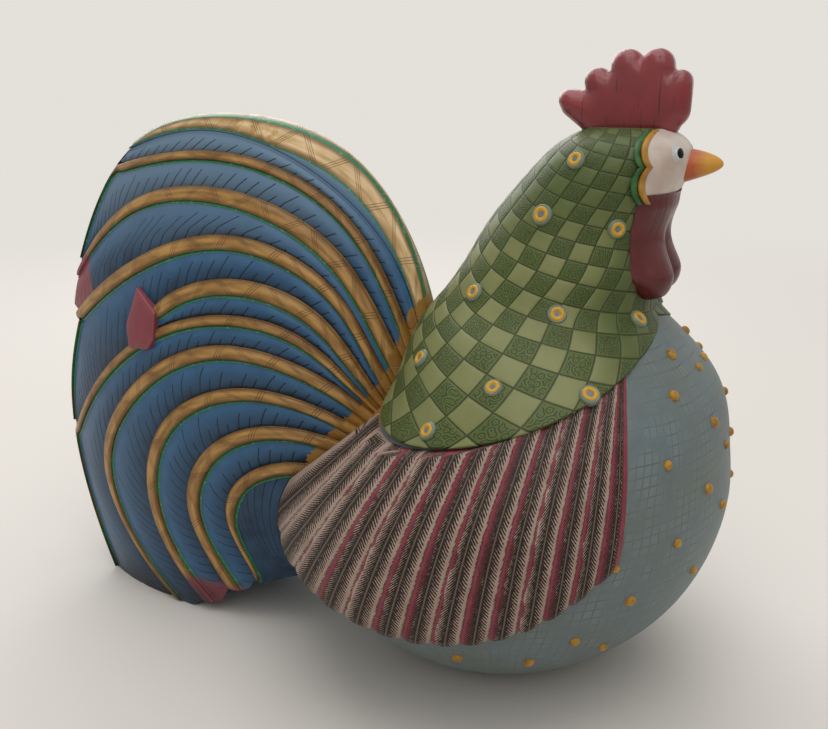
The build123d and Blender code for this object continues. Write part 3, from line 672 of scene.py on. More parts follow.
@dataclass(frozen=True)
class Bell:
    """Belly, breast, neck and head as one bell of upright ellipses, in millimetres."""

    sections: tuple[tuple[float, float, float, float], ...] = (
        (1.2, 0.0, 18.0, 18.0),
        (6.0, 0.0, 31.8, 31.8),
        (16.0, 0.0, 45.8, 45.8),
        (30.0, 0.8, 57.0, 58.0),
        (45.0, 3.3, 61.2, 64.5),
        (60.0, 8.0, 59.0, 66.5),
        (72.0, 13.0, 53.0, 65.0),
        (84.0, 17.5, 46.6, 58.0),
        (92.0, 17.5, 43.0, 52.0),
        (100.0, 15.5, 38.5, 44.0),
        (107.0, 13.6, 33.0, 36.0),
        (113.0, 12.8, 27.4, 29.0),
        (122.0, 16.4, 24.8, 25.2),
        (133.0, 19.6, 21.6, 21.6),
        (146.0, 27.0, 18.8, 18.8),
        (155.5, 32.0, 14.4, 15.0),
        (159.5, 33.0, 7.5, 7.5),
    )
    hem_top: float = 96.0
    hem_tilt: float = 15.7
    hem_fall: float = 12.0
    hem_range: tuple[float, float] = (60.0, 140.0)
    halvings: int = 30
    cape: float = 2.5
    fine: int = 1600
    probe: float = 0.05

    def table(self) -> np.ndarray:
        """Fine rows of running length, height, centre, half length and half width."""
        given = np.array(self.sections, float)
        knots = lengths(given[:, [0, 2]])
        at = np.linspace(0, knots[-1], self.fine)
        return np.column_stack([at, spline(knots, given, at)])

    def read(self, height: np.ndarray) -> tuple[np.ndarray, ...]:
        """Running length, centre, half length and half width at a height."""
        rows = self.table()
        return tuple(np.interp(height, rows[:, 1], rows[:, k]) for k in (0, 2, 3, 4))

    def point(self, turn: np.ndarray, height: np.ndarray, grow: float | np.ndarray) -> np.ndarray:
        """Surface points.

        Args:
            turn: Angle from the beak round to the right side, in radians.
            height: Height above the table.
            grow: How far the sections are grown.

        Returns:
            Points in the layout of the angles.
        """
        _, middle, long, wide = self.read(height)
        return np.stack([middle + (long + grow) * np.cos(turn), -(wide + grow) * np.sin(turn), height], -1)

    def side_y(self, x: np.ndarray, z: np.ndarray, grow: float | np.ndarray) -> np.ndarray:
        """Right-hand surface above a place in the side view, as its y."""
        _, middle, long, wide = self.read(z)
        share = np.clip((x - middle) / (long + grow), -1, 1)
        return -(wide + grow) * np.sqrt(1 - share**2)

    def normal(self, points: np.ndarray, grow: float = 0.0) -> np.ndarray:
        """Outward directions at surface points."""
        rows = []
        for step in np.eye(3) * self.probe:
            levels = []
            for sign in (1, -1):
                place = points + sign * step
                _, middle, long, wide = self.read(place[..., 2])
                ahead = (place[..., 0] - middle) / (long + grow)
                levels.append(ahead**2 + (place[..., 1] / (wide + grow)) ** 2)
            rows.append(levels[0] - levels[1])
        out = np.stack(rows, -1)
        return out / np.linalg.norm(out, axis=-1, keepdims=True)

    def hem_at(self, x: np.ndarray, y: np.ndarray) -> np.ndarray:
        """Height of the cape's hem over a place on the table."""
        tilt = radians(self.hem_tilt)
        return self.hem_top + x * tan(tilt) - np.abs(y) * tan(radians(self.hem_fall)) / cos(tilt)

    def hem(self, turn: np.ndarray, grow: float, lift: float = 0.0) -> np.ndarray:
        """Height at which the grown bell meets the hem, for each angle."""
        low, high = (np.full_like(turn, level) for level in self.hem_range)
        for _ in range(self.halvings):
            middle = (low + high) / 2
            place = self.point(turn, middle, grow)
            above = middle > self.hem_at(place[..., 0], place[..., 1]) + lift
            high = np.where(above, middle, high)
            low = np.where(above, low, middle)
        return (low + high) / 2


BELL = Bell()


class Scatter:
    """One small shape set on many points by Geometry Nodes, then made a plain mesh."""

    def __init__(self, name: str) -> None:
        """Build the tree with its named inputs."""
        self.tree = bpy.data.node_groups.new(name, "GeometryNodeTree")
        face = self.tree.interface
        face.new_socket("Geometry", in_out="INPUT", socket_type="NodeSocketGeometry")
        self.keys = {
            label: face.new_socket(label, in_out="INPUT", socket_type=kind).identifier
            for label, kind in (
                ("Shape", "NodeSocketObject"),
                ("Paint", "NodeSocketMaterial"),
                ("Least", "NodeSocketFloat"),
                ("Most", "NodeSocketFloat"),
                ("Seed", "NodeSocketInt"),
            )
        }
        face.new_socket("Geometry", in_out="OUTPUT", socket_type="NodeSocketGeometry")
        given = put(self.tree, "NodeGroupInput").node.outputs
        info = {"Object": given["Shape"], "As Instance": True}
        shape = put(self.tree, "GeometryNodeObjectInfo", info, out="Geometry")
        stored = {"Name": "facing"}
        facing = put(self.tree, "GeometryNodeInputNamedAttribute", stored, data_type="FLOAT_VECTOR")
        turned = put(self.tree, "FunctionNodeAlignRotationToVector", {"Vector": facing}, axis="Z")
        size = {"Min": given["Least"], "Max": given["Most"], "Seed": given["Seed"]}
        grown = put(self.tree, "FunctionNodeRandomValue", size, data_type="FLOAT")
        wired = {"Points": given["Geometry"], "Instance": shape, "Rotation": turned, "Scale": grown}
        laid = put(self.tree, "GeometryNodeInstanceOnPoints", wired)
        real = put(self.tree, "GeometryNodeRealizeInstances", {"Geometry": laid})
        cover = {"Geometry": real, "Material": given["Paint"]}
        painted = put(self.tree, "GeometryNodeSetMaterial", cover)
        put(self.tree, "NodeGroupOutput", {"Geometry": painted})

    def lay(
        self,
        name: str,
        shape: bpy.types.Object,
        points: np.ndarray,
        facing: np.ndarray,
        finish: Finish,
        spread: tuple[float, float] = (1.0, 1.0),
        seed: int = 3,
    ) -> bpy.types.Object:
        """Set the shape on points.

        Args:
            name: Name of the finished object.
            shape: Object whose mesh is repeated.
            points: Places in millimetres.
            facing: Direction of the shape's own Z at each place.
            finish: Finish of the result.
            spread: Least and most share of the shape's size.
            seed: Seed of the spread.

        Returns:
            A plain mesh object at the origin.
        """
        mesh = bpy.data.meshes.new(name + "_points")
        mesh.from_pydata((points * MM).tolist(), [], [])
        store = mesh.attributes.new("facing", "FLOAT_VECTOR", "POINT")
        store.data.foreach_set("vector", facing.astype(np.float32).ravel())
        holder = placed(name + "_points", mesh)
        modifier = holder.modifiers.new("Scatter", "NODES")
        modifier.node_group = self.tree
        for label, value in zip(self.keys, (shape, finish.material(), *spread, seed)):
            modifier[self.keys[label]] = value
        return finish_mesh(baked(holder), name, SOFT_EDGE)


def turned_shape(name: str, profile: Sequence[Sequence[float]], count: int) -> bpy.types.Object:
    """A small round shape turned about its own Z, with how far out each vertex lies as "ring".

    Args:
        name: Name of the object.
        profile: Radius and height from the middle of the top down to the seat, in millimetres.
        count: Vertices round the shape.

    Returns:
        The mesh object.
    """
    casting = Casting(name, "ring")
    turns = np.linspace(0, FULL_TURN, count, endpoint=False)
    rows = np.array(profile, float)
    grid = np.stack(
        [rows[:, :1] * np.cos(turns), rows[:, :1] * np.sin(turns), np.repeat(rows[:, 1:], count, 1)], -1
    )
    ids = casting.add(grid, ring=np.repeat(rows[:, :1] / rows[:, 0].max(), count, 1))
    casting.quads(ids, wrap=True)
    casting.fan(ids[0], (0, 0, rows[0, 1]), ring=0.0)
    casting.fan(ids[-1], (0, 0, rows[-1, 1]), ring=1.0)
    return casting.build()


# Pieces


@dataclass(frozen=True)
class Belly:
    """Scored belly with its rows of small beads."""

    columns: int = 360
    rows: int = 240
    bead_r: float = 1.5
    bead_x: float = 12.0
    bead_rise: float = 0.85
    bead_seat: float = -0.8
    under_cape: float = 6.0
    score_r: float = 56.0
    root_x: tuple[float, float] = (-30.0, -20.0)
    root_z: tuple[float, float] = (54.0, 64.0)
    lid: tuple[float, float, float] = (17.0, 0.0, 96.0)
    bead_spots: tuple[tuple[float, float], ...] = (
        (20.0, 102.0),
        (32.0, 94.5),
        (16.0, 85.0),
        (42.0, 80.5),
        (24.0, 69.5),
        (12.0, 61.0),
        (38.0, 59.0),
        (24.5, 45.5),
        (57.0, 57.0),
        (50.5, 45.0),
        (64.0, 33.0),
        (52.5, 26.5),
        (76.5, 24.0),
        (97.0, 24.0),
        (7.0, 97.0),
        (6.0, 76.0),
    )

    def build(self) -> None:
        """Make the belly and its beads."""
        turns = np.linspace(0, FULL_TURN, self.columns, endpoint=False)
        rows = BELL.table()
        top = np.interp(BELL.hem(turns, BELL.cape, self.under_cape), rows[:, 1], rows[:, 0])
        run = np.linspace(0, 1, self.rows)[:, None] * top[None, :]
        height = np.interp(run, rows[:, 0], rows[:, 1])
        angle = np.broadcast_to(turns, run.shape)
        half_turn = np.where(angle > pi, angle - FULL_TURN, angle)
        casting = Casting("belly", "around", "rise", "root")
        skin = BELL.point(angle, height, 0.0)
        root = (1 - ease(*self.root_x, skin[..., 0])) * ease(*self.root_z, height)
        ids = casting.add(skin, around=np.abs(half_turn) * self.score_r, rise=run, root=root)
        casting.quads(ids, wrap=True)
        casting.fan(ids[0], (0, 0, BELL.sections[0][0]))
        casting.fan(ids[-1], self.lid)
        dress(casting.build(), BELLY_PAINT, "belly", "body_shell")
        self.dress_beads()

    def dress_beads(self) -> None:
        """Set a bead at every spot on both sides."""
        places = []
        for turn, height in self.bead_spots:
            angle = np.linspace(0, pi, 4000)
            ring = BELL.point(angle, np.full_like(angle, height), 0.0)
            aim = np.arctan2(-ring[:, 1], ring[:, 0] - self.bead_x)
            spot = ring[np.argmin(np.abs(aim - radians(turn)))]
            places += [spot, spot * (1, -1, 1)]
        points = np.array(places)
        r = self.bead_r
        dome = [(r * sin(a), r * self.bead_rise * cos(a)) for a in np.linspace(0.25, pi / 2, 6)]
        dome += [(r, self.bead_seat)]
        shape = turned_shape("bead_shape", dome, 16)
        beads = Scatter("bead_scatter").lay(
            "belly_beads", shape, points, BELL.normal(points), BEAD_PAINT, spread=(0.8, 1.08)
        )
        bpy.data.objects.remove(shape)
        dress(beads, BEAD_PAINT, "bead", "breast_beads")


@dataclass(frozen=True)
class Cape:
    """Patchwork cape over neck and crown, with its painted buttons."""

    grow: float = BELL.cape
    lining: float = 0.2
    columns: int = 430
    rows: int = 210
    over: tuple[float, ...] = (-0.318, -4.802, -5.267, 0.525, 0.728, 2.057)
    down: tuple[float, ...] = (-4.288, -1.982, 5.436, -0.356, 0.652, 2.568)
    groove: float = 0.2
    puff: float = 0.16
    ruled: float = 0.07
    run_middle: float = 110.0
    run_half: float = 50.0
    first: float = 60.5
    hem_round: float = 0.9
    hem_thin: float = 1.8
    thin_turn: tuple[float, float] = (0.5, 1.1)
    thin_run: float = 8.0
    shade: float = 0.85
    shade_z: tuple[float, float] = (124.0, 146.0)
    shade_turn: tuple[float, float] = (0.7, 1.15)
    button_r: float = 2.7
    button_dome: tuple[tuple[float, float], ...] = (
        (0.16, 0.75),
        (0.3, 0.72),
        (0.36, 0.95),
        (0.52, 1.15),
        (0.68, 1.05),
        (0.76, 0.75),
        (0.86, 0.8),
        (0.96, 0.55),
        (1.0, 0.1),
        (1.0, -0.9),
    )
    button_spots: tuple[tuple[float, float], ...] = (
        (23.4, 152.0),
        (16.0, 138.1),
        (34.8, 135.1),
        (-1.1, 116.8),
        (22.7, 113.9),
        (41.0, 111.0),
        (-12.7, 99.7),
        (12.0, 98.4),
        (35.1, 98.0),
        (-3.5, 86.5),
    )

    def lattice(self, turn: np.ndarray, run: np.ndarray) -> tuple[np.ndarray, np.ndarray]:
        """Patch coordinates of the squares that swing round from the beak to the back.

        Args:
            turn: Angle from the beak.
            run: Running length up the bell.

        Returns:
            Two coordinates that count patches.
        """
        round_side = turn - pi / 2
        up = (run - self.run_middle) / self.run_half
        terms = (np.ones_like(up), round_side, up, round_side**2, round_side * up, up**2)
        over, down = (sum(k * term for k, term in zip(given, terms)) for given in (self.over, self.down))
        return over + self.first, down + self.first

    def build(self) -> None:
        """Make both halves of the cape and the buttons on them."""
        rows = BELL.table()
        for side in Side:
            turns = np.linspace(0, pi, self.columns)
            hem = np.interp(BELL.hem(turns, self.grow), rows[:, 1], rows[:, 0])
            share = np.linspace(0, 1, self.rows)[:, None]
            run = hem[None, :] + (rows[-1, 0] - hem[None, :]) * share
            angle = np.broadcast_to(turns, run.shape)
            over, down = self.lattice(angle, run)
            past = run - hem[None, :]
            cut = np.maximum(ripple(over, self.ruled), ripple(down, self.ruled))
            crown = np.cos(pi * (over - np.floor(over) - 0.5)) * np.cos(pi * (down - np.floor(down) - 0.5))
            rounded = self.hem_round * (1 - ease(0.0, self.hem_round, past)) ** 2
            thinned = self.hem_thin * (1 - ease(*self.thin_turn, angle))
            thinned = thinned * (1 - ease(0.0, self.thin_run, past))
            relief = self.puff * crown - self.groove * cut - rounded - thinned
            height = np.interp(run, rows[:, 0], rows[:, 1])
            casting = Casting("cape_" + side.name.lower(), "over", "down", "shade")
            shade = self.shade * np.maximum(ease(*self.shade_z, height), 1 - ease(*self.shade_turn, angle))
            skin = BELL.point(angle, height, self.grow + relief)
            outer = casting.add(skin, over=over, down=down, shade=shade)
            lift = np.interp(hem, rows[:, 0], rows[:, 1])
            inner = casting.add(BELL.point(turns, lift, self.lining)[None], over=over[:1], down=down[:1])
            casting.quads(outer)
            casting.quads(np.concatenate([inner, outer[:1]]))
            top = BELL.sections[-1]
            casting.fan(outer[-1], (top[1], 0, top[0]), over=self.first - 0.5, down=self.first - 0.5)
            node = ("neck_cape",) if side is Side.RIGHT else ()
            dress(casting.build(side, SOFT_EDGE), CAPE_PAINT, "cape", *node)
        self.dress_buttons()

    def dress_buttons(self) -> None:
        """Set a button at every spot, right and left."""
        spots = np.array(self.button_spots)
        points = np.stack([spots[:, 0], BELL.side_y(spots[:, 0], spots[:, 1], self.grow), spots[:, 1]], 1)
        facing = BELL.normal(points, self.grow)
        r = self.button_r
        dome = [(share * r, rise) for share, rise in self.button_dome]
        shape = turned_shape("button_shape", dome, 32)
        scatter = Scatter("button_scatter")
        for side in Side:
            flip = np.array([1.0, side.value, 1.0])
            name = "buttons_" + side.name.lower()
            laid = scatter.lay(name, shape, points * flip, facing * flip, BUTTON_PAINT, (0.82, 1.05), 5)
            dress(laid, BUTTON_PAINT, "button", "cape_" + name)
        bpy.data.objects.remove(shape)


@dataclass(frozen=True)
class Head:
    """Face with its two scalloped welts, eyes, beak, comb and wattles."""

    grow: float = 2.75
    cheek_x: float = 42.6
    cheek_z: tuple[float, float, float] = (141.2, 150.6, 160.0)
    scallop: float = 1.6
    welt: float = 1.5
    eye: tuple[float, float] = (47.4, 153.6)
    eye_r: float = 1.8
    beak_tip: float = 58.0
    beak_long: float = 14.0
    beak_z: float = 150.6
    beak_droop: float = 1.2
    beak_half: tuple[float, float] = (5.7, 5.4)
    mouth: tuple[float, float, float] = (0.32, 0.035, 0.1)
    mouth_x: tuple[float, float] = (47.5, 50.0)
    chin: tuple[float, float] = (0.2, 3.0)
    face_top: float = 159.4
    face_lap: float = 0.6
    face_thick: float = 1.5
    welt_top: float = 159.3
    comb_half: float = 4.5
    comb_round: float = 4.2
    comb_voxel: float = 0.32
    comb_lip: float = 0.3
    comb_passes: int = 14
    pad_rise: float = 2.0
    pad_turn: float = 0.24
    pad_foot: tuple[float, float] = (115.4, 120.0)
    pad_head: tuple[float, float] = (139.0, 143.5)
    throat: tuple[float, float] = (131.0, 138.0)
    melt: float = 1.6
    wattle_turn: float = 39.0
    wattle_gap: float = 0.06
    drop_least: float = 0.3
    scratch: float = 0.04
    lobes: tuple[tuple[tuple[float, float, float], tuple[float, float, float]], ...] = (
        ((24.0, 164.4, 4.2), (17.0, 166.2, 3.0)),
        ((28.0, 164.6, 4.6), (24.3, 171.2, 3.5)),
        ((33.0, 165.0, 5.0), (32.0, 175.0, 4.3)),
        ((38.0, 165.0, 5.0), (39.6, 175.1, 4.4)),
        ((43.6, 164.2, 5.0), (45.6, 171.0, 3.2)),
        ((24.6, 160.4, 4.2), (42.2, 160.8, 4.2)),
        ((24.6, 161.0, 4.2), (17.8, 165.0, 3.2)),
        ((24.6, 170.8, 3.2), (29.6, 170.6, 2.6)),
    )
    wattle: tuple[tuple[float, float, float, float], ...] = (
        (143.6, 41.4, -5.4, 4.6),
        (138.0, 36.6, -4.7, 9.0),
        (131.0, 36.0, -5.3, 9.0),
        (125.0, 39.7, -6.6, 7.5),
        (121.8, 40.9, -7.0, 7.4),
        (119.3, 41.4, -7.1, 6.7),
        (117.2, 42.0, -7.2, 5.2),
        (115.8, 42.4, -7.3, 3.1),
        (115.0, 42.6, -7.3, 0.7),
    )
    wattle_rim: tuple[tuple[float, float], ...] = (
        (143.5, 50.0),
        (140.3, 47.5),
        (135.9, 44.5),
        (132.0, 41.5),
        (128.2, 40.0),
        (125.3, 38.6),
        (121.8, 35.5),
        (118.5, 28.0),
        (115.0, 15.0),
    )

    def cheek(self, z: np.ndarray) -> np.ndarray:
        """Rear edge of the face in the side view: two scallops, one above the other."""
        low, middle, top = self.cheek_z
        half = (top - low) / 4
        centre = np.where(z < middle, (low + middle) / 2, (middle + top) / 2)
        radius = (half**2 + self.scallop**2) / (2 * self.scallop)
        rise = np.sqrt(np.maximum(radius**2 - (z - centre) ** 2, 0)) - (radius - self.scallop)
        return self.cheek_x - np.maximum(rise, 0)

    def build(self) -> None:
        """Make every piece of the head."""
        self.build_face()
        self.build_welts()
        self.build_eyes()
        self.build_beak()
        self.build_comb()
        for side in Side:
            self.build_wattle(side)

    def build_face(self) -> None:
        """White face, a closed skin from one row of scallops to the other."""
        shares = np.linspace(-1, 1, 121)
        rise = np.linspace(0, 1, 70)[:, None]
        low = self.cheek_z[0] + self.chin[0] + self.chin[1] * (1 - np.abs(shares))[None, :]
        height = low + (self.face_top - low) * rise
        _, middle, long, _ = BELL.read(height)
        edge = np.arccos(np.clip((self.cheek(height) - self.face_lap - middle) / (long + self.grow), -1, 1))
        turn = edge * shares[None, :]
        casting = Casting("face_mask")
        front = casting.add(BELL.point(turn, height, self.grow))
        back = casting.add(BELL.point(turn, height, self.grow - self.face_thick))
        casting.quads(front)
        casting.quads(back)
        for border in (np.s_[0], np.s_[-1], np.s_[:, 0], np.s_[:, -1]):
            casting.quads(np.stack([front[border], back[border]]))
        dress(casting.build(), FACE_PAINT, "face", "face")

    def build_welts(self) -> None:
        """Two raised bands that follow the scallops, orange inside and green outside."""
        levels = np.linspace(self.cheek_z[0], self.welt_top, 120)
        height = np.unique(np.append(levels, self.cheek_z[1]))
        turns = np.linspace(0, FULL_TURN, 14, endpoint=False)
        for name, start, finish, rise in (
            ("orange", 0.15, ORANGE_PAINT, 1.2),
            ("green", self.welt + 0.3, GREEN_PAINT, 1.4),
        ):
            casting = Casting("welt_" + name)
            for sign in (1.0, -1.0):
                centre_x = self.cheek(height) - start - self.welt / 2
                rows = []
                for turn in turns:
                    x = centre_x + cos(turn) * (self.welt / 2 + 0.12)
                    grow = BELL.cape + (rise if sin(turn) > 0 else 1.0) * sin(turn)
                    rows.append(np.stack([x, sign * BELL.side_y(x, height, grow), height], 1))
                ids = casting.add(np.stack(rows, 1))
                casting.quads(ids, wrap=True)
                for end in (0, -1):
                    casting.faces.append(ids[end].tolist())
            dress(casting.build(sharp=ROUND_EDGE), finish, "trim_" + name, "trim_" + name)

    def build_eyes(self) -> None:
        """Black domes with a pale painted rim."""
        r = self.eye_r
        dome = [(r * sin(a), r * 0.75 * cos(a)) for a in np.linspace(0.15, pi / 2, 9)]
        dome += [(r * 1.12, -0.05), (r * 1.2, -0.4)]
        shape = turned_shape("eye_shape", dome, 28)
        x, z = self.eye
        spot = np.array([[x, float(BELL.side_y(np.array(x), np.array(z), self.grow)), z]])
        facing = BELL.normal(spot, self.grow)
        scatter = Scatter("eye_scatter")
        for side in Side:
            flip = np.array([1.0, side.value, 1.0])
            name = "eye_" + side.name.lower()
            laid = scatter.lay(name + "_dome", shape, spot * flip, facing * flip, EYE_PAINT)
            dress(laid, EYE_PAINT, "eye", name)
        bpy.data.objects.remove(shape)

    def build_beak(self) -> None:
        """Short cone with a mouth line down each side."""
        share = np.linspace(1.0, 0.05, 60)[:, None]
        x = self.beak_tip - self.beak_long * share**2
        z = self.beak_z - self.beak_droop * share**4
        turns = np.linspace(0, FULL_TURN, 64, endpoint=False)
        place, width, deep = self.mouth
        mouth = ripple((turns[None, :] + place) / pi, width) * deep * ease(*self.mouth_x, x) * share
        wide, tall = (half * share - mouth for half in self.beak_half)
        grid = np.stack([np.repeat(x, len(turns), 1), wide * np.cos(turns), z + tall * np.sin(turns)], -1)
        casting = Casting("beak_cone")
        ids = casting.add(grid)
        casting.quads(ids, wrap=True)
        casting.fan(ids[0], (self.beak_tip - self.beak_long, 0, self.beak_z - self.beak_droop))
        casting.fan(ids[-1], (self.beak_tip, 0, self.beak_z))
        dress(casting.build(), BEAK_PAINT, "beak", "beak")

    def build_comb(self) -> None:
        """Rounded lobes melted into one comb by a voxel remesh, then smoothed."""
        work = bmesh.new()
        turns = np.linspace(0, FULL_TURN, 40, endpoint=False)
        for lobe in self.lobes:
            verts = []
            for tuck, y in ((0.0, self.comb_half - 0.5), (0.35, self.comb_half)):
                for x, z, radius in lobe:
                    ring = radius - tuck * self.comb_round
                    for turn in turns:
                        for sign in (1, -1):
                            spot = (x + ring * cos(turn), sign * y, z + ring * sin(turn))
                            verts.append(work.verts.new(Vector(spot) * MM))
            hull = bmesh.ops.convex_hull(work, input=verts)
            spare = hull["geom_interior"] + hull["geom_unused"]
            loose = {item for item in spare if isinstance(item, bmesh.types.BMVert)}
            bmesh.ops.delete(work, geom=list(loose), context="VERTS")
        mesh = bpy.data.meshes.new("comb_lobes")
        bmesh.ops.recalc_face_normals(work, faces=work.faces)
        work.to_mesh(mesh)
        work.free()
        holder = placed("comb_lobes", mesh)
        remesh = holder.modifiers.new("Melt", "REMESH")
        remesh.mode = "VOXEL"
        remesh.voxel_size = self.comb_voxel * MM
        result = baked(holder)
        spots = np.empty(len(result.vertices) * 3, np.float32)
        result.vertices.foreach_get("co", spots)
        spots = spots.reshape(-1, 3)
        depth = np.clip(self.comb_depth(spots[:, [0, 2]] / MM) / self.comb_round, 0, 1)
        spots[:, 1] *= self.comb_lip + (1 - self.comb_lip) * np.sqrt(1 - (1 - depth) ** 2)
        result.vertices.foreach_set("co", spots.ravel())
        work = bmesh.new()
        work.from_mesh(result)
        for _ in range(self.comb_passes):
            bmesh.ops.smooth_vert(
                work, verts=work.verts, factor=0.5, use_axis_x=True, use_axis_y=True, use_axis_z=True
            )
        work.to_mesh(result)
        work.free()
        dress(finish_mesh(result, "comb_lobed", MELTED_EDGE), RED_PAINT, "comb", "comb")

    def comb_depth(self, places: np.ndarray) -> np.ndarray:
        """How far places of the side view lie inside the comb's outline."""
        rounds = []
        for first, last in self.lobes:
            share = np.linspace(0, 1, 15)[:, None]
            rounds.append(np.array(first) + (np.array(last) - np.array(first)) * share)
        rounds = np.concatenate(rounds)
        turns = np.linspace(0, FULL_TURN, 72, endpoint=False)
        rim = rounds[:, None, :2] + rounds[:, None, 2:] * np.stack([np.cos(turns), np.sin(turns)], -1)[None]
        rim = rim.reshape(-1, 2)
        into = rounds[None, :, 2] - np.linalg.norm(rim[:, None] - rounds[None, :, :2], axis=2)
        rim = rim[into.max(1) < 0.05]
        parts = np.array_split(places, 40)
        return np.concatenate([np.linalg.norm(p[:, None] - rim[None], axis=2).min(1) for p in parts])

    def build_wattle(self, side: Side) -> None:
        """One long drop that swells out of the throat under the beak."""
        rim = np.array(self.wattle_rim)[::-1]
        level = np.linspace(rim[0, 0], rim[-1, 0], 150)[None, :]
        edge = np.radians(np.interp(level, rim[:, 0], rim[:, 1]))
        border = np.maximum(edge, radians(self.wattle_turn))
        share = np.linspace(0, 1, 110)[:, None]
        turn = border * (1 - share)
        height = np.repeat(level, len(share), 0)
        skin = BELL.point(turn, height, BELL.cape)
        inward = np.clip((edge - turn) / self.pad_turn, 0, 1)
        pad = np.sqrt(1 - (1 - inward) ** 2) * ease(*self.pad_foot, level)
        pad = self.pad_rise * pad * (1 - 0.5 * ease(*self.pad_head, level))
        pad = pad * (1 - ease(0.6, 1.0, share) * (1 - ease(*self.throat, level))) - 0.5
        drop = self.drop_reach(skin, turn)
        swell = np.log(np.exp(self.melt * pad) + np.exp(self.melt * drop)) / self.melt
        lines = self.scratch * ripple(turn * 9 + 0.35 * np.sin(height / 3), 0.12) * ease(0.05, 0.3, share)
        out = np.where(share < 0.02, -0.6, np.maximum(swell - lines, -0.8))
        front = BELL.point(turn, height, BELL.cape + out)
        under = BELL.point(turn[[0, -1]], height[[0, -1]], 0.6)
        for sheet in (front, under):
            sheet[..., 1] = np.minimum(sheet[..., 1], -self.wattle_gap)
        name = "wattle_" + side.name.lower()
        casting = Casting(name + "_drop")
        casting.slab(front, under)
        dress(casting.build(side, ROUND_EDGE), WATTLE_SHADED_RED, "comb", name)

    def drop_reach(self, skin: np.ndarray, turn: np.ndarray) -> np.ndarray:
        """How far the hanging drop stands out from points of the cape, negative where it stays inside.

        Args:
            skin: Points of the cape's skin.
            turn: Their angles from the beak.

        Returns:
            Distance along the skin's outward direction.
        """
        given = np.array(self.wattle[::-1])
        rows = spline(given[:, 0], given, skin[0, :, 2])
        radius = np.maximum(rows[:, 3], self.drop_least)
        gap = skin[..., :2] - rows[None, :, 1:3]
        way = np.stack([np.cos(turn), -np.sin(turn)], -1)
        near = (gap * way).sum(-1)
        inside = near**2 - (gap**2).sum(-1) + radius[None] ** 2
        return -near + np.sqrt(np.maximum(inside, 0)) - 1.3 * np.sqrt(np.maximum(-inside, 0))


